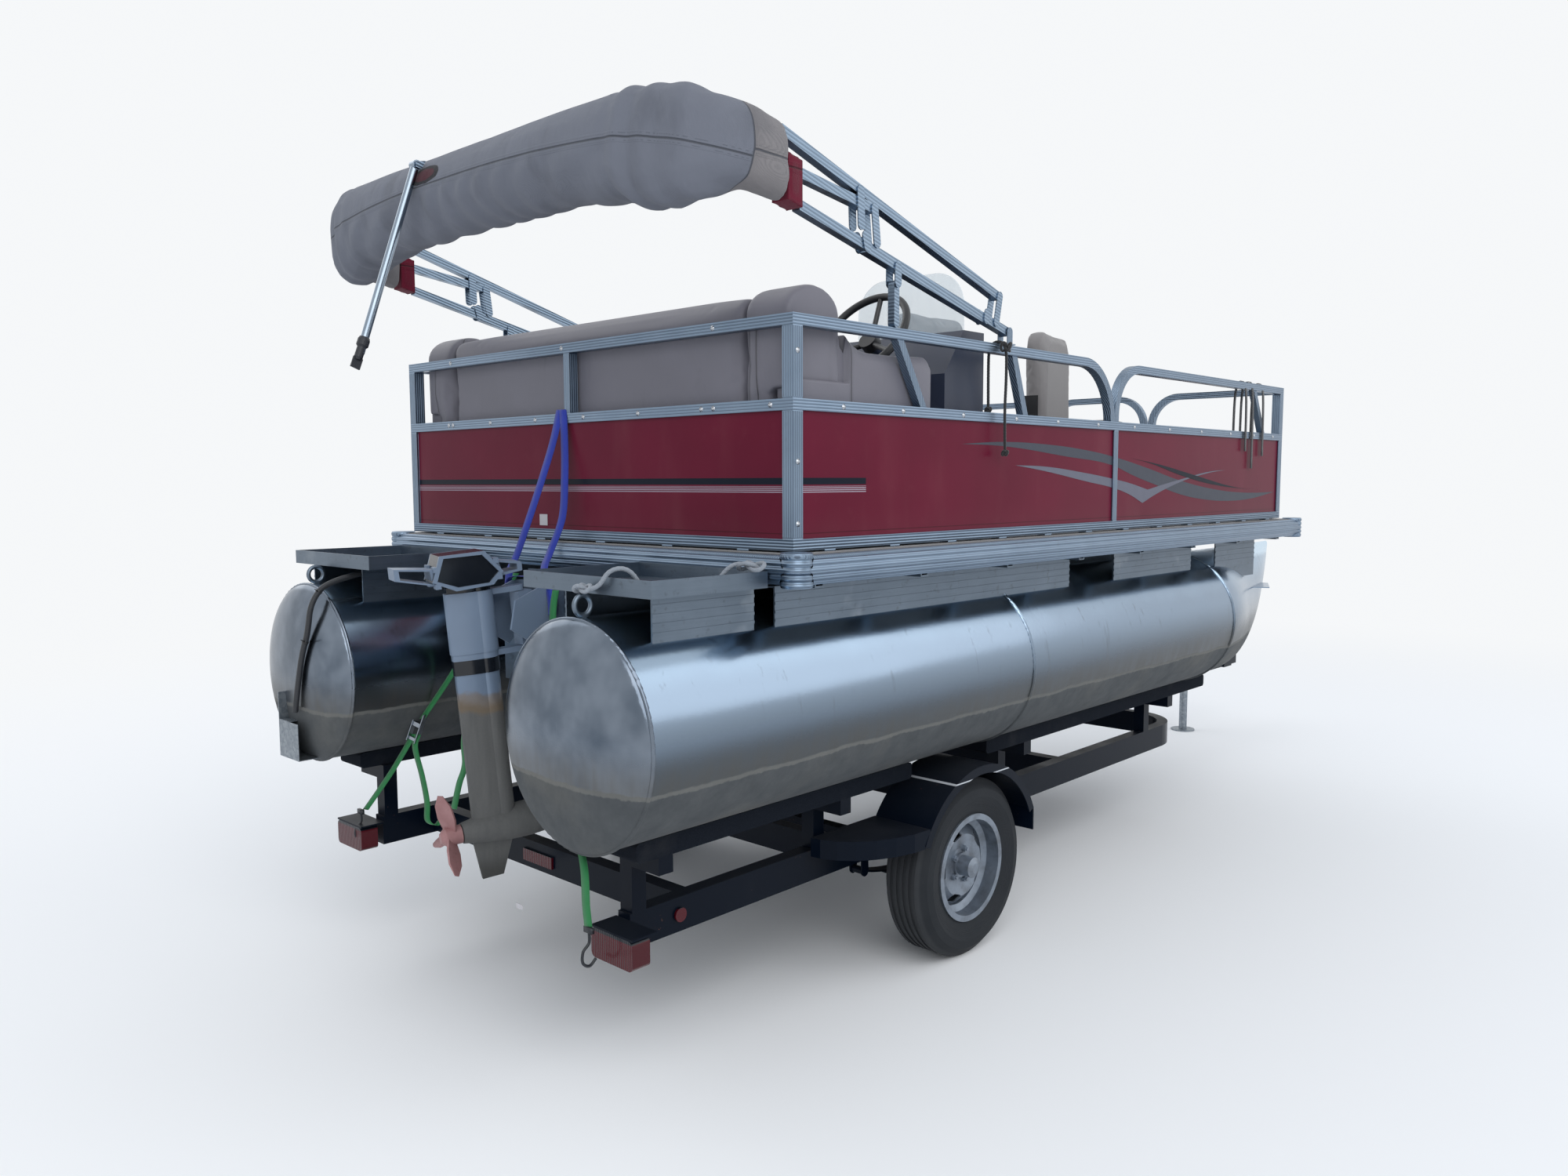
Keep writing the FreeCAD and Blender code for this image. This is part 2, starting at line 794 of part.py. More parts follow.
def side_fence():
    """Starboard side: two rounded top loops over a trim rail, with raked braces."""
    y0 = -fence_half_width
    y1 = y0 + fence_tube
    mid = y0 + fence_tube / 2
    bottom, trim, top = rail_levels()
    axis_z = top + fence_tube / 2
    start = corner_post
    end = fence_length - corner_post
    half = fence_tube / 2
    shapes = []
    for x in (0, fence_length - corner_post):
        shapes.append(box(x, x + corner_post, y0, y0 + corner_post, fence_bottom_z, fence_top_z))
    shapes.append(box(start, end, y0, y1, bottom, bottom + fence_tube))
    shapes.append(box(start, end, y0, y1, trim, trim + fence_tube))
    shapes.append(box(side_post_x - half, side_post_x + half, y0, y1, fence_bottom_z, trim_top_z))
    aft_leg = side_post_x - fence_tube
    aft = [V(start, mid, axis_z), V(aft_leg, mid, axis_z), V(aft_leg, mid, trim)]
    shapes.append(square_tube(aft, aft_bend_radius, Y, Z, fence_tube, fence_tube))
    fore = [V(side_post_x, mid, trim), V(side_post_x, mid, axis_z), V(end, mid, axis_z)]
    shapes.append(square_tube(fore, fore_bend_radius, X, Y, fence_tube, fence_tube))
    for upper, lower in zip(brace_tops, brace_feet):
        outline = [(upper - half, top), (upper + half, top), (lower + half, trim_top_z), (lower - half, trim_top_z)]
        shapes.append(side_prism(outline, y0 + brace_inset, y1 - brace_inset))
    stations = spaced(foot_spacing / 2, fence_length - foot_spacing / 2, side_foot_count)
    shapes += fence_feet(stations, lambda a, b, low, high: box(a, b, y0, y1, low, high))
    return join(shapes)


def fence_stern():
    reach = fence_half_width - corner_post
    bottom, trim, top = rail_levels()
    half = fence_tube / 2
    shapes = [box(0, fence_tube, -reach, reach, z, z + fence_tube) for z in (bottom, trim, top)]
    shapes.append(box(0, fence_tube, -half, half, trim, top))
    stations = spaced(-reach + foot_spacing / 2, reach - foot_spacing / 2, end_foot_count)
    shapes += fence_feet(stations, lambda a, b, low, high: box(0, fence_tube, a, b, low, high))
    return join(shapes)


def gate_hinge_levels():
    return [fence_bottom_z + share * trim_top for share in gate_hinge_shares]


def fence_bow():
    """Two bow sections, each with its loop bent down beside the gate."""
    reach = fence_half_width - corner_post
    x1 = fence_length
    x0 = x1 - fence_tube
    mid = x0 + fence_tube / 2
    bottom, trim, top = rail_levels()
    inner = gate_half_width + gate_gap
    post = inner + fence_tube / 2
    shapes = [box(x0, x1, inner, reach, z, z + fence_tube) for z in (bottom, trim)]
    shapes.append(box(x0, x1, inner, inner + fence_tube, fence_bottom_z, trim_top_z))
    axis_z = top + fence_tube / 2
    loop = [V(mid, reach, axis_z), V(mid, post, axis_z), V(mid, post, trim)]
    shapes.append(square_tube(loop, gate_bend_radius, X, Z, fence_tube, fence_tube))
    stations = spaced(inner + foot_length, reach - foot_spacing / 2, bow_foot_count)
    shapes += fence_feet(stations, lambda a, b, low, high: box(x0, x1, a, b, low, high))
    section = join(shapes)
    knuckles = []
    for z in gate_hinge_levels():
        for low in (z - hinge_height, z + hinge_height / 2):
            pin_y = gate_half_width + gate_gap / 2
            barrel = Part.makeCylinder(hinge_radius, hinge_height / 2, V(x0, pin_y, low))
            leaf = box(x0 - hinge_leaf, x0, pin_y, inner + fence_tube, low, low + hinge_height / 2)
            knuckles += [barrel, leaf]
        knuckles.append(Part.makeCylinder(hinge_pin, hinge_height * 2, V(x0, pin_y, z - hinge_height)))
    return group([join([section] + knuckles), mirrored(section)])


def gate_frame():
    """Bow gate: a hoop of tube with a trim rail, and the moving halves of its hinges."""
    x1 = fence_length
    x0 = x1 - fence_tube
    mid = x0 + fence_tube / 2
    bottom, trim, top = rail_levels()
    stile = gate_half_width - fence_tube / 2
    axis_z = top + fence_tube / 2
    hoop = [V(mid, -stile, bottom), V(mid, -stile, axis_z), V(mid, stile, axis_z), V(mid, stile, bottom)]
    shapes = [square_tube(hoop, gate_bend_radius, X, Y, fence_tube, fence_tube)]
    shapes += [box(x0, x1, -stile, stile, z, z + fence_tube) for z in (bottom, trim)]
    pin_y = gate_half_width + gate_gap / 2
    for z in gate_hinge_levels():
        low = z - hinge_height / 2 + hinge_play
        high = z + hinge_height / 2 - hinge_play
        shapes.append(Part.makeCylinder(hinge_radius, high - low, V(x0, pin_y, low)))
        shapes.append(box(x0 - hinge_leaf, x0, gate_half_width - fence_tube, pin_y, low, high))
    frame = join(shapes)
    for z in gate_hinge_levels():
        frame = frame.cut(Part.makeCylinder(hinge_pin + hinge_play, hinge_height * 2, V(x0, pin_y, z - hinge_height)))
    return frame


def side_panels():
    outer = -fence_half_width + panel_inset
    bottom, trim, top = rail_levels()
    half = fence_tube / 2
    spans = ((corner_post, side_post_x - half), (side_post_x + half, fence_length - corner_post))
    return [box(x0, x1, outer, outer + panel_thickness, bottom + fence_tube, trim) for x0, x1 in spans]


def fence_panels():
    reach = fence_half_width - corner_post
    bottom, trim, top = rail_levels()
    low = bottom + fence_tube
    stern = box(panel_inset, panel_inset + panel_thickness, -reach, reach, low, trim)
    x1 = fence_length - panel_inset
    bow = box(x1 - panel_thickness, x1, gate_half_width + gate_gap + fence_tube, reach, low, trim)
    sides = side_panels()
    return group([stern, bow, mirrored(bow)] + sides + [mirrored(side) for side in sides])


def gate_panel():
    x1 = fence_length - panel_inset
    half = gate_half_width - fence_tube
    bottom, trim, top = rail_levels()
    return box(x1 - panel_thickness, x1, -half, half, bottom + fence_tube, trim)


# ---- Seats


def bench_base():
    x0 = bench_rear_x
    return box(x0, x0 + bench_depth, -bench_half_width, bench_half_width, deck_top_z, deck_top_z + bench_base_height)


def bench_cushions():
    x0 = bench_rear_x + bench_back_thickness
    x1 = bench_rear_x + bench_depth + cushion_nose
    low = deck_top_z + bench_base_height
    pad = box(x0, x1, cushion_gap / 2, bench_half_width, low, low + cushion_thickness)
    return both_sides(rounded(pad, cushion_round))


def bench_backs():
    """Two long back cushions with a raised bolster in each corner."""
    x0 = bench_rear_x
    x1 = x0 + bench_back_thickness
    low = deck_top_z + bench_base_height
    high = deck_top_z + bench_back_top
    split = bench_half_width - bolster_width
    pad = rounded(box(x0, x1, cushion_gap / 2, split - cushion_gap / 2, low, high), back_round)
    bolster = rounded(box(x0, x1, split + cushion_gap / 2, bench_half_width, low, high + bolster_rise), back_round)
    return group([pad, mirrored(pad), bolster, mirrored(bolster)])


def side_arms():
    """Padded side panels with a scooped top between the bench back and the console."""
    y0 = bench_half_width + seat_gap
    y1 = y0 + side_arm_thickness
    low = deck_top_z
    high = deck_top_z + side_arm_top
    x0 = bench_rear_x
    x1 = side_arm_end_x
    rise = bench_back_top - side_arm_top
    scoop = x0 + bench_back_thickness
    points = [V(x0, y0, low), V(x0, y0, high + rise), V(scoop, y0, high + rise), V(scoop + rise, y0, high), V(x1 - arm_end_round, y0, high)]
    bend = V(x1 - arm_end_round * arm_end_share, y0, high - arm_end_round * arm_end_share)
    edges = [Part.makeLine(points[0], points[1]), Part.makeLine(points[1], points[2])]
    middle = V(scoop + rise * scoop_share, y0, high + rise * scoop_share)
    edges.append(Part.Arc(points[2], middle, points[3]).toShape())
    edges.append(Part.makeLine(points[3], points[4]))
    corner = V(x1, y0, high - arm_end_round)
    edges.append(Part.Arc(points[4], bend, corner).toShape())
    edges.append(Part.makeLine(corner, V(x1, y0, low)))
    edges.append(Part.makeLine(V(x1, y0, low), points[0]))
    arm = Part.Face(Part.Wire(edges)).extrude(Y * side_arm_thickness)
    return both_sides(arm)


def chair_turn(shape, place):
    x, y, heading = place
    moved = shape.copy()
    moved.rotate(V(0, 0, 0), Z, heading)
    moved.translate(V(x, y, deck_top_z))
    return moved


def chair_pedestals():
    shapes = []
    for x, y, heading in chair_places:
        outline = [(0, 0), (chair_base_radius, 0), (chair_base_radius, chair_plate), (chair_pedestal_radius, chair_plate * 3)]
        outline += [(chair_pedestal_radius, chair_post_height), (0, chair_post_height)]
        shapes.append(turned(outline, V(x, y, deck_top_z), Z))
    return group(shapes)


def chair_frame(place):
    """Swivel plate and the two hinge brackets that carry the back."""
    low = chair_post_height + chair_swivel_gap
    hub = Part.makeCylinder(chair_pedestal_radius, chair_swivel_height, V(0, 0, low))
    plate_low = low + chair_swivel_height
    half = chair_bracket_y
    plate = box(-chair_seat_depth / 2, chair_seat_depth / 2 - chair_plate_inset, -half, half, plate_low, plate_low + chair_plate)
    rear = -chair_seat_depth / 2
    arms = []
    for side in (-1, 1):
        y0 = side * (chair_seat_width / 2 + seat_gap)
        y1 = y0 + side * chair_bracket_thickness
        arm = box(rear, rear + chair_bracket_width, min(y0, y1), max(y0, y1), plate_low, plate_low + chair_bracket_height)
        arms.append(arm)
        arms.append(box(rear, rear + chair_bracket_width, min(side * half, y1), max(side * half, y1), plate_low, plate_low + chair_plate))
    return chair_turn(join([hub, plate] + arms), place)


def chair_cushions(place):
    low = chair_post_height + chair_swivel_gap + chair_swivel_height + chair_plate
    half = chair_seat_width / 2
    seat = box(-chair_seat_depth / 2 + chair_back_thickness, chair_seat_depth / 2, -half, half, low, low + chair_seat_thickness)
    seat = rounded(seat, chair_round)
    back = box(-chair_seat_depth / 2, -chair_seat_depth / 2 + chair_back_thickness - seat_gap, -half, half, low, low + chair_seat_thickness + chair_back_height)
    back = rounded(rounded(back, chair_back_round, X), chair_edge_round)
    return chair_turn(group([seat, back]), place)


# ---- Helm


def console():
    """Moulded console with a raked dash, open underneath for feet and lines."""
    high = deck_top_z + console_height
    outline = [(console_rear_x, deck_top_z), (console_rear_x, high - console_dash_drop), (console_rear_x + console_dash_run, high), (console_front_x, high), (console_front_x, deck_top_z)]
    body = side_prism(outline, console_outer_y, console_inner_y)
    wall = console_wall
    x0 = console_rear_x + wall
    inner = [(x0, deck_top_z), (x0, high - console_dash_drop), (x0 + console_dash_run, high - wall), (console_front_x - wall, high - wall), (console_front_x - wall, deck_top_z)]
    return body.cut(side_prism(inner, console_outer_y + wall, console_inner_y - wall))


def helm_frame(shape):
    """Tip a shape built about the upright axis onto the wheel's raked column."""
    moved = shape.copy()
    moved.rotate(V(0, 0, 0), Y, -(90 - helm_rake))
    moved.translate(V(helm_wheel_x, helm_y, deck_top_z + helm_wheel_rise))
    return moved


def steering_wheel():
    """Ring, three dished spokes and hub; its axis is the upright one before tipping."""
    ring = Part.makeTorus(wheel_rim_radius - wheel_rim_wire, wheel_rim_wire, V(0, 0, 0), Z)
    hub = Part.makeCylinder(helm_hub_radius, helm_hub_length, V(0, 0, -helm_hub_length / 2 - helm_dish))
    spokes = []
    for i in range(helm_spoke_count):
        angle = 2 * math.pi * i / helm_spoke_count
        out = V(math.cos(angle), math.sin(angle), 0)
        spokes.append(rod(out * (helm_hub_radius / 2) - Z * helm_dish, out * (wheel_rim_radius - wheel_rim_wire), helm_spoke_radius))
    return helm_frame(join([ring, hub] + spokes))


def helm_column():
    start = -helm_hub_length / 2 - helm_dish - hinge_play
    shaft = helm_frame(rod(V(0, 0, start), V(0, 0, start - helm_column_length), helm_column_radius))
    dash = box(console_rear_x - helm_column_length, console_rear_x, console_outer_y, console_inner_y, deck_top_z, deck_top_z + console_height)
    outline = [(console_rear_x, deck_top_z), (console_rear_x, deck_top_z + console_height - console_dash_drop), (console_rear_x + console_dash_run, deck_top_z + console_height), (console_front_x, deck_top_z + console_height), (console_front_x, deck_top_z)]
    solid_console = side_prism(outline, console_outer_y, console_inner_y)
    return shaft.cut(solid_console)


def windscreen():
    """Clear bent sheet on top of the console, its upper corners rounded."""
    low = deck_top_z + console_height
    half = (console_inner_y - console_outer_y) / 2 - screen_inset
    centre_y = (console_inner_y + console_outer_y) / 2
    sheet = box(screen_x, screen_x + screen_thickness, centre_y - half, centre_y + half, low, low + screen_height)
    corners = [edge for edge in sheet.Edges if abs(edge.CenterOfMass.z - low - screen_height) < seat_gap and edge.Length < screen_thickness * 2]
    return sheet.makeFillet(screen_corner_radius, corners)


# ---- Outboard


def tilt_pose(shape):
    """Lean the swivelling parts about the tilt tube."""
    moved = shape.copy()
    moved.rotate(V(tilt_axis_x, 0, tilt_axis_z), Y, trim_angle)
    return moved


def steer_pose(shape):
    """Turn the motor about its steering tube, then lean it with the swivel."""
    moved = shape.copy()
    moved.rotate(V(steer_axis_x, 0, 0), Z, steer_angle)
    return tilt_pose(moved)


def outboard_clamp():
    """Two side plates over the transom, joined by the tilt tube and the clamp screws."""
    hook = transom_x + transom_thickness
    top = transom_top_z + clamp_rise
    low = transom_top_z - clamp_depth
    outline = [(transom_x, low), (transom_x - clamp_foot, low - clamp_foot), (clamp_reach_x, tilt_axis_z - clamp_heel)]
    outline += [(clamp_reach_x + clamp_foot / 2, tilt_axis_z), (transom_x - clamp_foot / 2, top), (hook + clamp_lip, top)]
    outline += [(hook + clamp_lip, transom_top_z - clamp_hook), (hook, transom_top_z - clamp_hook), (hook, transom_top_z), (transom_x, transom_top_z)]
    y1 = clamp_plate_y + clamp_plate_thickness
    plate = side_prism(outline, clamp_plate_y, y1)
    tube = rod(V(tilt_axis_x, -y1, tilt_axis_z), V(tilt_axis_x, y1, tilt_axis_z), tilt_tube_radius)
    bridge = box(hook, hook + clamp_lip, -clamp_plate_y, clamp_plate_y, transom_top_z - clamp_hook, transom_top_z - clamp_hook / 2)
    screw_z = transom_top_z - clamp_hook + clamp_hook / 4
    screws = []
    for side in (-1, 1):
        y = side * clamp_plate_y / 2
        screws.append(rod(V(hook + clamp_lip, y, screw_z), V(hook + clamp_screw_length, y, screw_z), clamp_screw_radius))
    return join([plate, mirrored(plate), tube, bridge] + screws)


def outboard_swivel():
    """Swivel block bored for the tilt tube and for the steering tube."""
    rear = steer_axis_x - swivel_wall
    front = tilt_axis_x + swivel_front
    outline = [(rear, swivel_bottom_z), (rear, swivel_top_z), (tilt_axis_x, swivel_top_z), (front, tilt_axis_z)]
    outline += [(front, tilt_axis_z - swivel_wall), (steer_axis_x + swivel_wall, swivel_bottom_z)]
    block = side_prism(outline, -swivel_half_width, swivel_half_width)
    ear = rod(V(tilt_axis_x, -swivel_ear_y, tilt_axis_z), V(tilt_axis_x, swivel_ear_y, tilt_axis_z), swivel_ear_radius)
    bore = rod(V(tilt_axis_x, -clamp_plate_y, tilt_axis_z), V(tilt_axis_x, clamp_plate_y, tilt_axis_z), tilt_tube_radius + pin_clearance)
    well = Part.makeCylinder(steer_tube_radius + pin_clearance, column_top_z, V(steer_axis_x, 0, 0))
    return tilt_pose(join([block, ear]).cut(bore).cut(well))


def foil(x_rear, chord, width, z0, z1):
    """Streamlined column section, blunt forward and finer aft."""
    tail = x_rear
    lead = x_rear + chord
    wide = x_rear + chord * foil_crown_share
    half = width / 2
    fore = Part.Arc(V(wide, half, z0), V(lead, 0, z0), V(wide, -half, z0)).toShape()
    port = Part.BSplineCurve()
    port.interpolate([V(wide, half, z0), V((wide + tail) / 2, half * foil_mid_share, z0), V(tail, half * foil_tail_share, z0)])
    starboard = Part.BSplineCurve()
    starboard.interpolate([V(tail, -half * foil_tail_share, z0), V((wide + tail) / 2, -half * foil_mid_share, z0), V(wide, -half, z0)])
    back = Part.makeLine(V(tail, half * foil_tail_share, z0), V(tail, -half * foil_tail_share, z0))
    wire = Part.Wire([fore, starboard.toShape(), back, port.toShape()])
    return Part.Face(wire).extrude(Z * (z1 - z0))


def outboard_collar():
    """Grey housing round the head of the column, with its steering arms and tube."""
    rear = steer_axis_x - column_behind_axis
    body = foil(rear - collar_grow, column_chord + 2 * collar_grow, column_width + 2 * collar_grow, collar_bottom_z, column_top_z)
    low_top = swivel_bottom_z - arm_clearance
    high_low = swivel_top_z + arm_clearance
    half = collar_arm_width / 2
    reach = rear + column_chord / 2
    arms = []
    for z0, z1 in ((low_top - collar_arm_height, low_top), (high_low, high_low + collar_arm_height)):
        arms.append(box(reach, steer_axis_x, -half, half, z0, z1))
        arms.append(Part.makeCylinder(half, z1 - z0, V(steer_axis_x, 0, z0)))
    tube = Part.makeCylinder(steer_tube_radius, high_low - low_top + collar_arm_height, V(steer_axis_x, 0, low_top - collar_arm_height / 2))
    lower = foil(rear - collar_grow / 2, column_chord + collar_grow, column_width + collar_grow, low_top - collar_arm_height, collar_bottom_z)
    return steer_pose(join([body, lower, tube] + arms))


def outboard_band():
    rear = steer_axis_x - column_behind_axis
    top = swivel_bottom_z - arm_clearance - collar_arm_height
    band = foil(rear - collar_grow / 2, column_chord + collar_grow, column_width + collar_grow, top - band_height, top)
    return steer_pose(band)


def outboard_drive():
    """Column, torpedo-shaped drive and skeg, cast as one."""
    rear = steer_axis_x - column_behind_axis
    top = swivel_bottom_z - arm_clearance - collar_arm_height - band_height
    column = foil(rear, column_chord, column_width, drive_axis_z, top)
    x0 = steer_axis_x + drive_rear_x
    x1 = x0 + drive_length
    tail_radius = propeller_hub_radius + propeller_gap
    points = [V(x0, 0, drive_axis_z + tail_radius), V(x0 + drive_nose_length, 0, drive_axis_z + drive_radius), V(x1 - drive_nose_length, 0, drive_axis_z + drive_radius)]
    points += [V(x1 - drive_nose_length / 4, 0, drive_axis_z + drive_radius / 2), V(x1, 0, drive_axis_z + drive_radius / 8)]
    skin = Part.BSplineCurve()
    skin.interpolate(points)
    floor0 = V(x0, 0, drive_axis_z)
    floor1 = V(x1, 0, drive_axis_z)
    wire = Part.Wire([skin.toShape(), Part.makeLine(points[-1], floor1), Part.makeLine(floor1, floor0), Part.makeLine(floor0, points[0])])
    drive = Part.Face(wire).revolve(floor0, X, 360)
    skeg = side_prism([(steer_axis_x + a, z) for a, z in skeg_outline], -skeg_thickness / 2, skeg_thickness / 2)
    shaft = rod(V(x0, 0, drive_axis_z), V(x0 - propeller_hub_length * shaft_share, 0, drive_axis_z), propeller_shaft_radius)
    return steer_pose(join([column, drive, skeg, shaft]))


def propeller():
    """Hub with a nose cone and raked blades, bored for the shaft."""
    x1 = steer_axis_x + drive_rear_x - propeller_gap
    x0 = x1 - propeller_hub_length
    outline = [(0, 0), (propeller_hub_radius, 0), (propeller_hub_radius, propeller_hub_length * hub_cone_share), (propeller_hub_radius * hub_tip_share, propeller_hub_length), (0, propeller_hub_length)]
    hub = turned(outline, V(x1, 0, drive_axis_z), -X)
    blades = []
    for i in range(blade_count):
        rings = []
        for share, width_share, pitch_share in blade_shares:
            reach = propeller_hub_radius / 2 + (propeller_radius - propeller_hub_radius / 2) * share
            half_w = blade_root_width * width_share / 2
            half_t = blade_thickness * width_share / 2
            rim = [V(-half_t, -half_w, reach), V(half_t, -half_w, reach), V(half_t, half_w, reach), V(-half_t, half_w, reach)]
            ring = Part.makePolygon(rim + [rim[0]])
            ring.rotate(V(0, 0, 0), Z, blade_pitch * pitch_share)
            ring.translate(V(-blade_rake * share, 0, 0))
            rings.append(ring)
        blade = Part.makeLoft(rings, True, True)
        blade.rotate(V(0, 0, 0), X, 360 * i / blade_count + blade_start_angle)
        blade.translate(V((x0 + x1) / 2, 0, drive_axis_z))
        blades.append(blade)
    bore = rod(V(x1 + propeller_gap, 0, drive_axis_z), V(x1 - propeller_hub_length * shaft_share - pin_clearance, 0, drive_axis_z), propeller_shaft_radius + pin_clearance)
    return steer_pose(join([hub] + blades).cut(bore))


def head_points():
    return [(steer_axis_x + a, z) for a, z in head_outline]


def outboard_head():
    """Faceted black power head standing on the collar."""
    half = head_width / 2 - head_frame_depth
    body = side_prism(head_points(), -half, half)
    neck = foil(steer_axis_x - column_behind_axis, column_chord, column_width, column_top_z, head_neck_top_z)
    return steer_pose(join([body, neck]))


def loop_bars(corners, y0, y1, thickness):
    """Closed flat-bar loop along a polygon in the motor's own plane."""
    middle_x = sum(x for x, z in corners) / len(corners)
    middle_z = sum(z for x, z in corners) / len(corners)
    outer = side_prism(corners, y0, y1)
    inner = []
    for x, z in corners:
        run = math.hypot(x - middle_x, z - middle_z)
        share = 1 - thickness / run
        inner.append((middle_x + (x - middle_x) * share, middle_z + (z - middle_z) * share))
    return outer.cut(side_prism(inner, y0, y1))


def outboard_frame():
    """Pale frame round both faces of the head with a carrying loop aft and a tiller lug forward."""
    half = head_width / 2
    rings = []
    for y0, y1 in ((-half, -half + head_frame_depth), (half - head_frame_depth, half)):
        rings.append(loop_bars(head_points(), y0, y1, head_frame))
    for outline in (aft_handle, fore_handle):
        corners = [(steer_axis_x + a, z) for a, z in outline]
        rings.append(loop_bars(corners, -handle_half_width, handle_half_width, handle_tube))
    core = side_prism(head_points(), -half + head_frame_depth, half - head_frame_depth)
    frame = [ring.cut(core) for ring in rings]
    ties = []
    for outline in (aft_handle, fore_handle):
        for a, z in (outline[0], outline[3]):
            for side in (-1, 1):
                y0 = side * (handle_half_width - handle_tube)
                y1 = side * half
                x = steer_axis_x + a
                tie = box(x - handle_tube / 2, x + handle_tube / 2, min(y0, y1), max(y0, y1), z - handle_tube / 2, z + handle_tube / 2)
                ties.append(tie.cut(core))
    return steer_pose(join(frame + ties))


# ---- Bimini


def along_bow(foot, angle, length):
    x, z = foot
    lean = math.radians(angle)
    return x - length * math.cos(lean), z + length * math.sin(lean)


def bow_leg(start, end, y, stop_x):
    """Straight leg of a bow from its foot to the canvas, cut square at the canvas."""
    x0, z0 = start
    x1, z1 = end
    run = V(x1 - x0, 0, z1 - z0).normalize()
    up = V(-run.z, 0, run.x)
    tip = V(x0, y, z0) + run * ((stop_x - x0) / run.x)
    over = tip + run * bow_tube
    half = bow_tube / 2
    rim = [V(x0, y, z0) + Y * (half * a) + up * (half * b) for a, b in ((-1, -1), (1, -1), (1, 1), (-1, 1))]
    leg = prism(rim, over - V(x0, y, z0))
    return leg.cut(box(stop_x - length_margin, stop_x, y - bow_tube, y + bow_tube, z0 - length_margin, z1 + length_margin))


def bimini_mounts():
    """Saddle with two ears and a pin on each side rail."""
    pivot_z = fence_top_z + mount_rise
    y = bow_side_y
    base = box(mount_x - mount_half_length, mount_x + mount_half_length, y - ear_y - ear_thickness, y + ear_y + ear_thickness, fence_top_z, fence_top_z + ear_thickness)
    ears = []
    for side in (-1, 1):
        y0 = y + side * ear_y
        y1 = y0 + side * ear_thickness
        ear = box(mount_x - ear_half_length, mount_x + ear_half_length, min(y0, y1), max(y0, y1), fence_top_z, pivot_z)
        crown = rod(V(mount_x, min(y0, y1), pivot_z), V(mount_x, max(y0, y1), pivot_z), ear_half_length)
        ears += [ear, crown]
    pin = rod(V(mount_x, y - ear_y - ear_thickness, pivot_z), V(mount_x, y + ear_y + ear_thickness, pivot_z), pivot_pin_radius)
    return both_sides(join([base, pin] + ears))


def bimini_bows():
    """Folded bow legs on both sides with the brackets and clamps that tie them."""
    pivot_z = fence_top_z + mount_rise
    y = bow_side_y
    main_end = along_bow((mount_x, pivot_z), main_bow_angle, main_bow_length)
    main = bow_leg((mount_x, pivot_z), main_end, y, cuff_front_x)
    main = main.fuse(rod(V(mount_x, y - bow_tube / 2, pivot_z), V(mount_x, y + bow_tube / 2, pivot_z), bow_tube / 2))
    front_end = along_bow(front_bow_foot, front_bow_angle, front_bow_length)
    front = bow_leg(front_bow_foot, front_end, y, boot_end_x)
    aux = bow_leg(aux_bow_foot, aux_bow_end, y, cuff_front_x)
    lower = bow_leg(lower_bow_foot, lower_bow_end, y, lower_bow_end[0])
    half = bow_tube / 2
    plates = []
    for a, b in bracket_pairs:
        for side in (-1, 1):
            y0 = y + side * half
            y1 = y0 + side * ear_thickness
            plates.append(bracket_plate(a, b, min(y0, y1), max(y0, y1)))
    hub = join([main, front, aux, lower] + plates)
    bore = rod(V(mount_x, y - bow_tube, pivot_z), V(mount_x, y + bow_tube, pivot_z), pivot_pin_radius + pin_clearance)
    return both_sides(hub.cut(bore))


def bracket_plate(a, b, y0, y1):
    """Flat link with rounded ends between two points."""
    start = V(a[0], y0, a[1])
    end = V(b[0], y0, b[1])
    run = (end - start).normalize()
    across = V(-run.z, 0, run.x) * bracket_radius
    strip = prism([start + across, end + across, end - across, start - across], V(0, y1 - y0, 0))
    caps = [Part.makeCylinder(bracket_radius, y1 - y0, p, Y) for p in (start, end)]
    return join([strip] + caps)


def boot_ring(station):
    """Oval canvas section at one station of the furled bows."""
    x, y, z, heading, half_wide, half_high = station
    turn = math.radians(heading)
    across = V(-math.cos(turn), math.sin(turn), 0) * half_wide
    points = []
    for i in range(boot_ring_count):
        angle = 2 * math.pi * i / boot_ring_count
        swell = lambda v: math.copysign(abs(v) ** boot_square_share, v)
        points.append(V(x, y, z) + across * swell(math.cos(angle)) + Z * (half_high * swell(math.sin(angle))))
    return Part.makePolygon(points + [points[0]])


def bimini_boot():
    rings = [boot_ring(station) for station in boot_stations]
    half = Part.makeLoft(rings, True, True)
    return join([half, mirrored(half)])


def bimini_cuffs():
    """Short canvas cuffs where the legs come out of the boot."""
    x1 = cuff_front_x
    y0 = bow_side_y - cuff_half_width
    y1 = bow_side_y + cuff_half_width
    outline = [(boot_end_x, cuff_low_z), (boot_end_x, cuff_high_z), (x1, cuff_high_z - cuff_drop), (x1, cuff_low_z - cuff_drop)]
    cuff = side_prism(outline, y0, y1)
    front_end = along_bow(front_bow_foot, front_bow_angle, front_bow_length)
    return both_sides(cuff.cut(bow_leg(front_bow_foot, front_end, bow_side_y, boot_end_x - bow_tube)))


def bimini_legs(side):
    """Short support leg pinned under the lower bow, standing on the side rail."""
    x, z = leg_pivot
    y = side * bow_side_y
    half = leg_block / 2
    foot_z = fence_top_z + leg_foot_gap + half
    block = box(x - half, x + half, y - half, y + half, foot_z, z)
    eye = rod(V(x, y - half, z), V(x, y + half, z), half)
    toe = rod(V(x, y - half, foot_z), V(x, y + half, foot_z), half)
    bore = rod(V(x, y - leg_block, z), V(x, y + leg_block, z), pivot_pin_radius + pin_clearance)
    return join([block, eye, toe]).cut(bore)


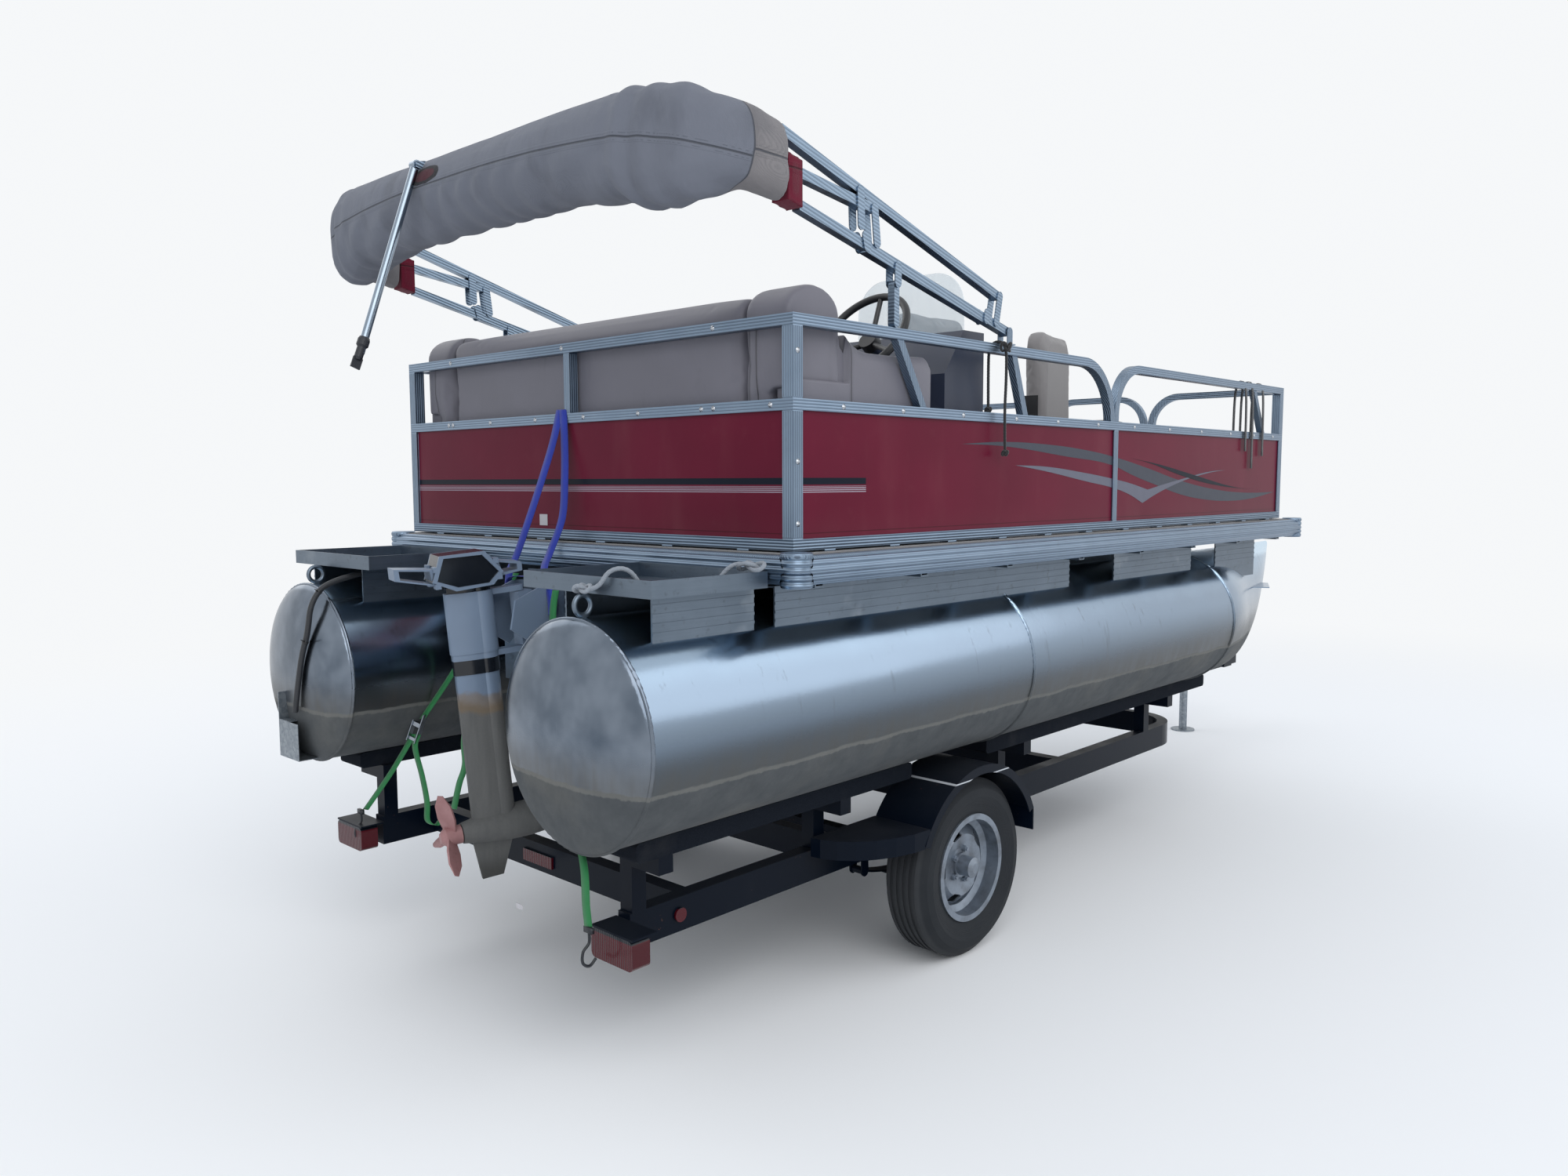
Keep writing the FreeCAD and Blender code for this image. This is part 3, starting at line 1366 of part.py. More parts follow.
def bimini_strut():
    """Hanging strut with a hinge eye at its head."""
    x, z = strut_top
    lean = math.radians(strut_lean)
    head = V(x, strut_y, z)
    foot = head + V(-math.sin(lean), 0, -math.cos(lean)) * strut_length
    eye = rod(head - Y * strut_radius, head + Y * strut_radius, strut_eye_radius)
    shape = join([rod(head, foot, strut_radius), eye])
    bore = rod(head - Y * bow_tube, head + Y * bow_tube, pivot_pin_radius + pin_clearance)
    return shape.cut(bore)


def strut_bracket():
    """Fork on the furled bows that holds the strut's pin."""
    x, z = strut_top
    half = strut_radius + arm_clearance
    shapes = [rod(V(x, strut_y - half - ear_thickness, z), V(x, strut_y + half + ear_thickness, z), pivot_pin_radius)]
    for side in (-1, 1):
        y0 = strut_y + side * half
        y1 = y0 + side * ear_thickness
        shapes.append(side_prism([(x - ear_thickness * 2, z + ear_thickness * 2), (x - ear_thickness * 2, z - ear_thickness * 2), (x + strut_bracket_reach, z - bracket_radius), (x + strut_bracket_reach, z + bracket_radius)], min(y0, y1), max(y0, y1)))
    base_x = x + strut_bracket_reach
    shapes.append(box(base_x, base_x + ear_thickness, strut_y - half - ear_thickness, strut_y + half + ear_thickness, z - bracket_radius, z + bracket_radius))
    return join(shapes).cut(bimini_boot())


# ---- Trailer


def rail_centre_y():
    return rail_outer_y - rail_width / 2


def trailer_frame():
    """Side rails bent round the front in one length, with the tongue welded through."""
    y = rail_centre_y()
    z = rail_bottom_z + rail_height / 2
    front = frame_front_x - rail_width / 2
    path = [V(frame_rear_x, y, z), V(front, y, z), V(front, -y, z), V(frame_rear_x, -y, z)]
    rails = square_tube(path, frame_corner_radius - rail_width / 2, Y, Z, rail_width, rail_height)
    top = rail_bottom_z + rail_height
    tongue_end = coupler_tip_x - coupler_length / 2
    start = tongue_rear_x + cross_member_width / 2
    tongue = box(start, tongue_end, -tongue_width / 2, tongue_width / 2, top - tongue_height, top)
    return join([rails, tongue])


def cross_members():
    half = cross_member_width / 2
    reach = rail_outer_y - rail_width
    low = rail_bottom_z + cross_member_rise
    return group([box(x - half, x + half, -reach, reach, low, rail_bottom_z + rail_height) for x in cross_member_x])


def frame_brackets():
    """Spring hangers with their pins, and the arms that carry the fenders."""
    y = rail_centre_y()
    top = rail_bottom_z + rail_height
    shapes = []
    for side in (-1, 1):
        for x in (axle_x - spring_half_length, axle_x + spring_half_length):
            parts = []
            for offset in (-1, 1):
                y0 = side * y + offset * (spring_leaf_width / 2 + hanger_play)
                y0, y1 = sorted((y0, y0 + offset * hanger_plate))
                parts.append(box(x - hanger_half_length, x + hanger_half_length, y0, y1, spring_eye_z, rail_bottom_z))
                parts.append(rod(V(x, y0, spring_eye_z), V(x, y1, spring_eye_z), hanger_half_length))
            reach = spring_leaf_width / 2 + hanger_play + hanger_plate
            parts.append(rod(V(x, side * y - reach, spring_eye_z), V(x, side * y + reach, spring_eye_z), spring_pin_radius))
            shapes.append(join(parts))
        y0, y1 = sorted((side * rail_outer_y, side * fender_inner_y))
        x0 = fender_point(fender_start_angle, 0)[0]
        shapes.append(box(x0 - fender_bracket / 2, x0 + fender_thickness, y0, y1, top - fender_bracket, top))
        pad_x = fender_point(fender_end_angle, 0)[0]
        shapes.append(box(pad_x - step_pad_length / 2, pad_x - fender_bracket, y0, y1, step_pad_top_z - step_pad_height, top))
    return group(shapes)


def fender_point(angle, grow):
    turn = math.radians(angle)
    reach = fender_radius + grow
    return axle_x + reach * math.cos(turn), tyre_radius + reach * math.sin(turn)


def fender_arc(inner, outer, y0, y1):
    """Ring sector over the wheel between two radii."""
    rims = []
    for grow in (inner, outer):
        rims.append([fender_point(angle, grow) for angle in (fender_start_angle, (fender_start_angle + fender_end_angle) / 2, fender_end_angle)])
    low = [V(x, y0, z) for x, z in rims[0]]
    high = [V(x, y0, z) for x, z in rims[1]]
    edges = [Part.Arc(low[0], low[1], low[2]).toShape(), Part.makeLine(low[2], high[2])]
    edges += [Part.Arc(high[2], high[1], high[0]).toShape(), Part.makeLine(high[0], low[0])]
    return Part.Face(Part.Wire(edges)).extrude(Y * (y1 - y0))


def fender():
    """Rolled fender with a turned-down outer lip, front flap and rear step pad."""
    skin = fender_arc(0, fender_thickness, fender_inner_y, fender_outer_y)
    lip = fender_arc(-fender_lip, 0, fender_outer_y - fender_thickness, fender_outer_y)
    x0, z0 = fender_point(fender_start_angle, 0)
    flap = box(x0, x0 + fender_thickness, fender_inner_y, fender_outer_y, z0 - flap_length, z0 + fender_thickness / 2)
    x1, z1 = fender_point(fender_end_angle, 0)
    high = step_pad_top_z
    low = high - step_pad_height
    sweep = []
    for share in step_pad_shares:
        turn = math.pi / 2 * share
        sweep.append((x1 - step_pad_length * math.sin(turn) + step_overlap, fender_inner_y + (fender_outer_y - fender_inner_y) * math.cos(turn)))
    plan = [(x1 + step_overlap, fender_inner_y)] + sweep
    pad = plan_prism(plan, low, high)
    core = Part.makeCylinder(fender_radius, fender_outer_y, V(axle_x, 0, tyre_radius), Y)
    hollow_plan = [(x1 + step_overlap, fender_inner_y + fender_thickness)]
    for x, y in sweep:
        hollow_plan.append((x + fender_thickness * 2, max(fender_inner_y + fender_thickness, y - fender_thickness)))
    hollow = plan_prism(hollow_plan[:-1], low, high - fender_thickness)
    return join([skin, lip, flap, pad.cut(hollow).cut(core)])


def fenders():
    return both_sides(fender())


def bunk_uprights():
    shapes = []
    base = rail_bottom_z + rail_height
    half = upright_size / 2
    y = rail_centre_y()
    for x in upright_x:
        post = box(x - half, x + half, y - half, y + half, base, base + upright_height)
        arm = box(x - half, x + half, y - half, bunk_centre_y + bunk_width / 2, base + upright_height, base + upright_height + bunk_arm_height)
        shapes.append(join([post, arm]))
    return group(shapes + [mirrored(shape) for shape in shapes])


def bunks():
    """Carpeted boards, their upper faces dished where the floats rest."""
    low = rail_bottom_z + rail_height + upright_height + bunk_arm_height
    shapes = []
    for x0, x1 in bunk_spans:
        board = box(x0, x1, bunk_centre_y - bunk_width / 2, bunk_centre_y + bunk_width / 2, low, low + bunk_thickness + bunk_dish)
        shapes.append(rounded(board, bunk_round, Y).cut(on_log(log_cutter)))
    return group(shapes + [mirrored(shape) for shape in shapes])


def axle():
    """Square beam with a stub spindle at each end."""
    half = axle_tube / 2
    beam = box(axle_x - half, axle_x + half, -axle_beam_half, axle_beam_half, tyre_radius - half, tyre_radius + half)
    spindle = rod(V(axle_x, -spindle_end_y, tyre_radius), V(axle_x, spindle_end_y, tyre_radius), spindle_radius)
    return join([beam, spindle])


def springs():
    """Two-leaf springs slung under the axle, with rolled eyes and a clamp plate."""
    top = tyre_radius - axle_tube / 2
    y = rail_centre_y()
    y0 = y - spring_leaf_width / 2
    y1 = y + spring_leaf_width / 2
    thick = spring_leaf_thickness
    shapes = []
    for index, share in enumerate(spring_leaf_shares):
        reach = spring_half_length * share
        rise = (spring_eye_z - top + thick / 2) * share * share
        z = top - thick * index
        lower = [V(axle_x - reach, y0, z - thick + rise), V(axle_x, y0, z - thick), V(axle_x + reach, y0, z - thick + rise)]
        upper = [V(axle_x - reach, y0, z + rise), V(axle_x, y0, z), V(axle_x + reach, y0, z + rise)]
        edges = [Part.Arc(lower[0], lower[1], lower[2]).toShape(), Part.makeLine(lower[2], upper[2])]
        edges += [Part.Arc(upper[2], upper[1], upper[0]).toShape(), Part.makeLine(upper[0], lower[0])]
        shapes.append(Part.Face(Part.Wire(edges)).extrude(Y * (y1 - y0)))
    for x in (axle_x - spring_half_length, axle_x + spring_half_length):
        shapes.append(rod(V(x, y0, spring_eye_z), V(x, y1, spring_eye_z), spring_eye_radius))
    under = top - thick * len(spring_leaf_shares)
    shapes.append(box(axle_x - axle_tube, axle_x + axle_tube, y0 - hanger_plate, y1 + hanger_plate, under - thick, under + thick / 2))
    spring = join(shapes)
    for x in (axle_x - spring_half_length, axle_x + spring_half_length):
        spring = spring.cut(rod(V(x, y0 - hanger_plate, spring_eye_z), V(x, y1 + hanger_plate, spring_eye_z), spring_pin_radius))
    beam = box(axle_x - axle_tube / 2, axle_x + axle_tube / 2, y0 - hanger_plate, y1 + hanger_plate, top, top + axle_tube)
    return both_sides(spring.cut(beam))


def wheel_at(shape, side):
    """Stand a wheel built about the upright axis, outer face up, at one end of the axle."""
    moved = shape.copy()
    moved.Placement = FreeCAD.Placement(V(axle_x, side * wheel_centre_y, tyre_radius), FreeCAD.Rotation(Z, Y * side))
    return moved


def tyre():
    """Grooved tyre carcass, hollow against the rim."""
    half = tyre_width / 2
    seat = rim_width / 2
    tread = half - tyre_shoulder
    outer = [(rim_seat_radius, -seat), (rim_flange_radius, -seat), ((tyre_radius + rim_flange_radius) / 2, -half), (tyre_radius - tyre_shoulder, -half + tread_depth), (tyre_radius - tread_depth, -tread - tread_depth), (tyre_radius, -tread)]
    pitch = 2 * tread / (2 * tread_grooves + 1)
    for i in range(tread_grooves):
        start = -tread + pitch * (2 * i + 1)
        outer += [(tyre_radius, start), (tyre_radius - tread_depth, start), (tyre_radius - tread_depth, start + pitch), (tyre_radius, start + pitch)]
    outer += [(tyre_radius, tread), (tyre_radius - tread_depth, tread + tread_depth), (tyre_radius - tyre_shoulder, half - tread_depth), ((tyre_radius + rim_flange_radius) / 2, half), (rim_flange_radius, seat), (rim_seat_radius, seat)]
    return turned(outer, V(0, 0, 0), Z)


def rim():
    """Dished steel wheel: barrel, rolled flanges and a slotted disc."""
    seat = rim_width / 2
    wall = rim_wall
    well = rim_seat_radius - rim_well_depth
    outline = [(rim_seat_radius, -seat), (rim_seat_radius, -seat / 3), (well, -seat / 6), (well, seat / 6), (rim_seat_radius, seat / 3), (rim_seat_radius, seat), (rim_flange_radius - pin_clearance, seat), (rim_flange_radius - pin_clearance, seat + wall)]
    outline += [(rim_seat_radius - wall, seat + wall), (rim_seat_radius - wall, seat / 3 + wall / 2), (well - wall, seat / 6 + wall / 2), (well - wall, -seat / 6 - wall / 2), (rim_seat_radius - wall, -seat / 3 - wall / 2), (rim_seat_radius - wall, -seat - wall)]
    outline += [(rim_flange_radius - pin_clearance, -seat - wall), (rim_flange_radius - pin_clearance, -seat)]
    barrel = turned(outline, V(0, 0, 0), Z)
    z = rim_disc_offset
    disc = [(hub_bore_radius, z), (hub_radius, z), (disc_crown_radius, z + disc_crown_rise), (well - wall / 2, 0), (well - wall / 2, -wall), (disc_crown_radius, z + disc_crown_rise - wall), (hub_radius, z - wall), (hub_bore_radius, z - wall)]
    plate = turned(disc, V(0, 0, 0), Z)
    slots = []
    for i in range(rim_slot_count):
        angle = 360 * (i + slot_turn_share) / rim_slot_count
        slot = box(slot_inner_radius, slot_outer_radius, -slot_half_width, slot_half_width, -seat, seat)
        slot = rounded(slot, slot_round, Z)
        slot.rotate(V(0, 0, 0), Z, angle)
        slots.append(slot)
    holes = []
    for i in range(rim_slot_count):
        turn = 2 * math.pi * i / rim_slot_count
        centre = V(stud_circle_radius * math.cos(turn), stud_circle_radius * math.sin(turn), -seat)
        holes.append(Part.makeCylinder(stud_radius + hinge_play, rim_width, centre))
    return join([barrel, plate.cut(group(slots)).cut(group(holes))])


def hub():
    """Hub drum behind the disc with its studs, nuts and grease cap."""
    z = rim_disc_offset - rim_wall
    outline = [(0, -hub_depth), (hub_bore_radius, -hub_depth), (hub_bore_radius, z - hub_flange), (hub_radius + stud_radius, z - hub_flange), (hub_radius + stud_radius, z), (hub_bore_radius - pin_clearance, z), (hub_bore_radius - pin_clearance, z + rim_wall + hub_flange)]
    outline += [(hub_cap_radius, z + rim_wall + hub_flange), (hub_cap_radius, z + hub_cap_length), (hub_cap_radius * hub_tip_share, z + hub_cap_length + hub_flange), (0, z + hub_cap_length + hub_flange)]
    drum = turned(outline, V(0, 0, 0), Z)
    studs = []
    for i in range(rim_slot_count):
        turn = 2 * math.pi * i / rim_slot_count
        centre = V(stud_circle_radius * math.cos(turn), stud_circle_radius * math.sin(turn), z)
        studs.append(Part.makeCylinder(stud_radius, stud_length, centre))
        studs.append(Part.makeCylinder(nut_radius, stud_length / 2, centre + Z * rim_wall))
    bore = Part.makeCylinder(spindle_radius + pin_clearance, hub_depth * 2, V(0, 0, -hub_depth * 2 + spindle_end_y - wheel_centre_y + pin_clearance))
    return join([drum] + studs).cut(bore)


def tail_lamps():
    lamp = box(lamp_rear_x, lamp_rear_x + lamp_depth, lamp_inner_y, lamp_outer_y, lamp_top_z - lamp_height, lamp_top_z)
    return both_sides(rounded(lamp, lamp_round, X))


def lamp_plates():
    """Shelf over each tail lamp, butted to the end of the side rail."""
    plate = box(lamp_rear_x, frame_rear_x, lamp_inner_y, lamp_outer_y, lamp_top_z, lamp_top_z + lamp_plate_thickness)
    return both_sides(plate)


def reflectors():
    """Centre reflector bar on the rear cross member and round markers on the rails."""
    x1 = cross_member_x[0] - cross_member_width / 2
    z = rail_bottom_z + rail_height / 2
    bar = box(x1 - reflector_depth, x1, -reflector_length / 2, reflector_length / 2, z - reflector_height / 2, z + reflector_height / 2)
    marker = rod(V(marker_x, rail_outer_y, z), V(marker_x, rail_outer_y + reflector_depth, z), marker_radius)
    return group([bar, marker, mirrored(marker)])


def coupler():
    """Sleeve over the tongue with a ball socket and a latch handle."""
    top = rail_bottom_z + rail_height
    mid = top - tongue_height / 2
    x1 = coupler_tip_x
    x0 = x1 - coupler_length
    half = coupler_width / 2
    low = mid - coupler_height / 2 - coupler_wall
    high = top + coupler_wall
    sleeve = box(x0, x1 - coupler_length / 2 + coupler_wall, -half, half, top - tongue_height - coupler_wall, high)
    tongue = box(x0, x1 - coupler_length / 2, -tongue_width / 2, tongue_width / 2, top - tongue_height, top)
    nose_x = x1 - half
    nose_low = top - tongue_height + coupler_wall
    nose = box(x1 - coupler_length / 2, nose_x, -half, half, nose_low, high)
    dome = Part.makeCylinder(half, high - nose_low, V(nose_x, 0, nose_low))
    socket = Part.makeCylinder(coupler_ball_radius, coupler_height, V(nose_x, 0, nose_low - coupler_wall))
    latch_x = nose_x - coupler_latch_length
    latch = side_prism([(latch_x, high), (latch_x + coupler_latch_width, high + coupler_latch_height), (nose_x, high + coupler_latch_height), (nose_x, high + coupler_latch_height - coupler_wall * 2), (latch_x + coupler_latch_width * 2, high)], -coupler_latch_width / 2, coupler_latch_width / 2)
    return join([sleeve.cut(tongue), nose, dome, latch]).cut(socket)


def jack_tube():
    """Fixed jack sleeve with its bracket on the tongue, crank and cap."""
    low = jack_tube_bottom_z
    high = low + jack_outer_length
    sleeve = Part.makeCylinder(jack_outer_radius, jack_outer_length, V(jack_x, jack_y, low))
    bore = Part.makeCylinder(jack_inner_radius + pin_clearance, jack_outer_length - jack_wall * 2, V(jack_x, jack_y, low))
    top = rail_bottom_z + rail_height
    bracket = box(jack_x - jack_bracket / 2, jack_x + jack_bracket / 2, tongue_width / 2, jack_y, top - tongue_height, top)
    corner = V(jack_x, jack_y, high + crank_grip_radius * 2)
    shaft = rod(V(jack_x, jack_y, high - jack_wall), corner, crank_radius)
    arm = rod(corner, corner + X * crank_reach, crank_radius)
    grip = rod(corner + X * crank_reach, corner + X * crank_reach + Z * crank_grip_length, crank_grip_radius)
    elbow = Part.makeSphere(crank_radius, corner)
    return join([sleeve, bracket, shaft, arm, grip, elbow]).cut(bore)


def jack_leg():
    """Inner tube with its foot plate on the ground."""
    foot = Part.makeCylinder(jack_foot_radius, jack_foot_thickness, V(jack_x, jack_y, 0))
    stem = Part.makeCylinder(jack_inner_radius, jack_leg_top_z, V(jack_x, jack_y, 0))
    return join([foot, stem])


def winch_stand():
    """Post on the tongue with a padded bow stop and the winch cheeks."""
    base = rail_bottom_z + rail_height
    half = winch_post_size / 2
    post = box(winch_post_x - half, winch_post_x + half, -half, half, base, winch_post_top_z)
    gusset = side_prism([(winch_post_x + half, base), (winch_post_x + half + winch_cheek_size, base), (winch_post_x + half, base + winch_cheek_size)], -winch_cheek, winch_cheek)
    stop_z = rub_rail_mid_z
    stop_x = rub_rail_front_x + bow_stop_height
    arm = box(stop_x, winch_post_x + half, -half, half, stop_z - half, stop_z + half / 2)
    cheeks = []
    for side in (-1, 1):
        y0, y1 = sorted((side * winch_drum_width / 2, side * (winch_drum_width / 2 + winch_cheek)))
        cheeks.append(box(winch_post_x + half - winch_cheek, winch_post_x + half + winch_cheek_size, y0, y1, winch_z - winch_cheek_size / 2, winch_z + winch_cheek_size / 2))
    axis_x = winch_post_x + half + winch_cheek_size / 2
    drum = rod(V(axis_x, -winch_drum_width / 2, winch_z), V(axis_x, winch_drum_width / 2, winch_z), winch_drum_radius)
    reach = winch_drum_width / 2 + winch_cheek
    tip_y = reach + crank_grip_length / 2
    spindle = rod(V(axis_x, 0, winch_z), V(axis_x, tip_y, winch_z), crank_radius)
    end_x = axis_x + winch_crank_length * crank_run_share
    end_z = winch_z + winch_crank_length * crank_rise_share
    handle = bracket_plate((axis_x, winch_z), (end_x, end_z), tip_y - winch_cheek, tip_y)
    grip = rod(V(end_x, tip_y - winch_cheek, end_z), V(end_x, tip_y + crank_grip_length, end_z), crank_grip_radius)
    return join([post, gusset, arm, drum, spindle, handle, grip] + cheeks)


def bow_stop():
    """Rubber pad that the front rub rail rests against."""
    x0 = rub_rail_front_x
    return box(x0, x0 + bow_stop_height, -bow_stop_half_width, bow_stop_half_width, rub_rail_mid_z - bow_stop_height / 2, rub_rail_mid_z + bow_stop_height / 2)


def service_box():
    """Service box beside the port float for the motor's cables."""
    x1 = service_box_x + service_box_depth
    return box(service_box_x, x1, service_box_y, service_box_y + service_box_width, service_box_z, service_box_z + service_box_height)


log_cutter = float_solid(seat_play)

nodes = {
    "pontoons": join([pontoons(), nose_fins()]),
    "risers": risers(),
    "stern_trays": join([stern_trays(), eye_rings()]),
    "deck_channels": deck_channels(),
    "deck": deck(),
    "rub_rail": join([rub_rail()] + corner_caps()),
    "motor_pod": motor_pod(),
    "fence_stern": fence_stern(),
    "fence_starboard": side_fence(),
    "fence_port": mirrored(side_fence()),
    "fence_bow": fence_bow(),
    "fence_panels": fence_panels(),
    "gate_frame": gate_frame(),
    "gate_panel": gate_panel(),
    "bench_base": bench_base(),
    "bench_cushions": bench_cushions(),
    "bench_backs": bench_backs(),
    "side_arms": side_arms(),
    "chair_pedestals": chair_pedestals(),
    "chair_aft_frame": chair_frame(chair_places[0]),
    "chair_aft_cushions": chair_cushions(chair_places[0]),
    "chair_fore_frame": chair_frame(chair_places[1]),
    "chair_fore_cushions": chair_cushions(chair_places[1]),
    "console": join([console(), helm_column()]),
    "steering_wheel": steering_wheel(),
    "windscreen": windscreen(),
    "outboard_clamp": outboard_clamp(),
    "outboard_swivel": outboard_swivel(),
    "outboard_collar": outboard_collar(),
    "outboard_band": outboard_band(),
    "outboard_drive": outboard_drive(),
    "outboard_head": outboard_head(),
    "outboard_frame": outboard_frame(),
    "propeller": propeller(),
    "bimini_mounts": bimini_mounts(),
    "bimini_bows": join([bimini_bows(), strut_bracket()]),
    "bimini_boot": bimini_boot(),
    "bimini_cuffs": bimini_cuffs(),
    "bimini_leg_starboard": bimini_legs(-1),
    "bimini_leg_port": bimini_legs(1),
    "bimini_strut": bimini_strut(),
    "trailer_frame": trailer_frame(),
    "cross_members": join([cross_members(), frame_brackets(), bunk_uprights(), lamp_plates()]),
    "fenders": fenders(),
    "bunks": bunks(),
    "axle": join([axle(), springs()]),
    "tyre_starboard": wheel_at(tyre(), -1),
    "tyre_port": wheel_at(tyre(), 1),
    "wheel_starboard": wheel_at(join([rim(), hub()]), -1),
    "wheel_port": wheel_at(join([rim(), hub()]), 1),
    "tail_lamps": join([tail_lamps(), reflectors()]),
    "coupler": coupler(),
    "jack_tube": jack_tube(),
    "jack_leg": jack_leg(),
    "winch_stand": winch_stand(),
    "bow_stop": bow_stop(),
}

middle_x = (log_stern_x - log_cap_bulge + coupler_tip_x) / 2
os.makedirs("parts", exist_ok=True)
for name, shape in nodes.items():
    shape.translate(V(-middle_x, 0, 0))
    shape.exportStep("parts/" + name + ".step")
    bounds = shape.BoundBox
    print(name, len(shape.Solids), shape.isValid(), round(shape.Volume / 1e6, 3), [round(v) for v in (bounds.XMin, bounds.XMax, bounds.YMin, bounds.YMax, bounds.ZMin, bounds.ZMax)])
print("middle", middle_x)
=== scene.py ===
import json
import math

import bmesh
import bpy
from mathutils import Matrix, Vector, noise

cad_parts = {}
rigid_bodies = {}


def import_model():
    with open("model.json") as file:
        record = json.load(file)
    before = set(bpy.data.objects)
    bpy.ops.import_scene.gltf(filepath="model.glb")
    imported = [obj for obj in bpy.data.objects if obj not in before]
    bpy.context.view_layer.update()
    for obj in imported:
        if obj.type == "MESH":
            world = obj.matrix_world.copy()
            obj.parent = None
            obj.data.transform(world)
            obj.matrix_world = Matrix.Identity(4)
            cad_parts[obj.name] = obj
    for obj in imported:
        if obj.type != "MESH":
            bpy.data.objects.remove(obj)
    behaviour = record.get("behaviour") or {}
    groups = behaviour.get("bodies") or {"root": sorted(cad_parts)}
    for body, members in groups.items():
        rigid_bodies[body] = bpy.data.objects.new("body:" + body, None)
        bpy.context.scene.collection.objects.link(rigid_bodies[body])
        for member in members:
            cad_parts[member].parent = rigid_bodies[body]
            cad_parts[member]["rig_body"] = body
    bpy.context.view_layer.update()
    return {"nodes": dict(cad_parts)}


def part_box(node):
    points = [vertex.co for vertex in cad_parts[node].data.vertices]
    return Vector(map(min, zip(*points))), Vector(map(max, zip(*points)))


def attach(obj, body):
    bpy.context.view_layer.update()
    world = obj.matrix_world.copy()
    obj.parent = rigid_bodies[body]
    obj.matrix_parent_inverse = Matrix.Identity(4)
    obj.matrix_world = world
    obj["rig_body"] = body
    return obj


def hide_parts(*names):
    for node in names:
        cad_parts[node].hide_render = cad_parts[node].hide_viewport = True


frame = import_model()

bl_info = {
    "name": "Pontoon Boat on Trailer",
    "version": (1, 0, 0),
    "blender": (4, 5, 0),
    "location": "3D View > Sidebar > Boat",
    "description": "Finishes and soft goods of a pontoon boat parked on its trailer",
    "category": "Object",
}

BOAT = "boat_and_trailer"
X, Y, Z = Vector((1, 0, 0)), Vector((0, 1, 0)), Vector((0, 0, 1))
SEEN_RAYS = ("Is Camera Ray", "Is Glossy Ray", "Is Transmission Ray")

FLOAT_Y, FLOAT_Z, FLOAT_RADIUS = 0.751, 1.0138, 0.3048
CAP_X, SEAM_X = -3.064, -1.314
WATERLINE_Z = 0.906
MUD_LINE_Z = 0.985
AXLE_X, AXLE_Z = -1.504, 0.314
DECK_EDGE_Z = 1.46
RAILS_Z = ((1.470, 1.511), (1.857, 1.895), (2.085, 2.125))
STRIPE_END_X = -2.19
BOOT_PANEL_X = -2.700
BOOT_SEAM_Z = 2.572
ZIP_Y, ZIP_Z = 0.150, 2.606


def tinted(colour, share):
    """A colour made darker or lighter by a share."""
    return tuple(part * share for part in colour)


class Level:
    """A number on a shader socket, which takes part in sums as a plain number does."""

    def __init__(self, finish, socket):
        self.finish = finish
        self.socket = socket

    def __add__(self, other):
        return self.finish.maths("ADD", self, other)

    __radd__ = __add__

    def __sub__(self, other):
        return self.finish.maths("SUBTRACT", self, other)

    def __rsub__(self, other):
        return self.finish.maths("SUBTRACT", other, self)

    def __mul__(self, other):
        return self.finish.maths("MULTIPLY", self, other)

    __rmul__ = __mul__

    def __truediv__(self, other):
        return self.finish.maths("DIVIDE", self, other)


class Nodes:
    """A node tree, and the sums and noises that are built in it."""

    def __init__(self, tree):
        self.tree = tree

    def feed(self, socket, value):
        if isinstance(value, Level):
            self.tree.links.new(value.socket, socket)
        elif socket.type == "RGBA":
            socket.default_value = tuple(value)[:3] + (1.0,)
        else:
            socket.default_value = value

    def node(self, kind, settings, inputs, output=0):
        """One node: its type, its settings and then its sockets' values or links."""
        node = self.tree.nodes.new("ShaderNode" + kind)
        for name, value in settings.items():
            setattr(node, name, value)
        for name, value in inputs.items():
            self.feed(node.inputs[name], value)
        return Level(self, node.outputs[output])

    def maths(self, operation, *terms):
        return self.node("Math", {"operation": operation}, dict(enumerate(terms)))

    def mix(self, share, first, second):
        """The second colour over the first, by share."""
        return self.node("Mix", {"data_type": "RGBA"}, {0: share, 6: first, 7: second}, 2)

    def rise(self, level, low, high):
        """0 below low and 1 above high, with a soft step between."""
        inputs = {"Value": level, "From Min": low, "From Max": high, "To Min": 0.0, "To Max": 1.0}
        return self.node("MapRange", {"interpolation_type": "SMOOTHSTEP"}, inputs)

    def band(self, level, low, high, soft):
        """1 between low and high, and 0 outside them."""
        return self.rise(level, low - soft, low) * (1 - self.rise(level, high, high + soft))

    def seen(self):
        """1 for the rays that show the backdrop, and 0 for those that light the boat."""
        rays = [self.node("LightPath", {}, {}, kind) for kind in SEEN_RAYS]
        return self.maths("MAXIMUM", self.maths("MAXIMUM", rays[0], rays[1]), rays[2])


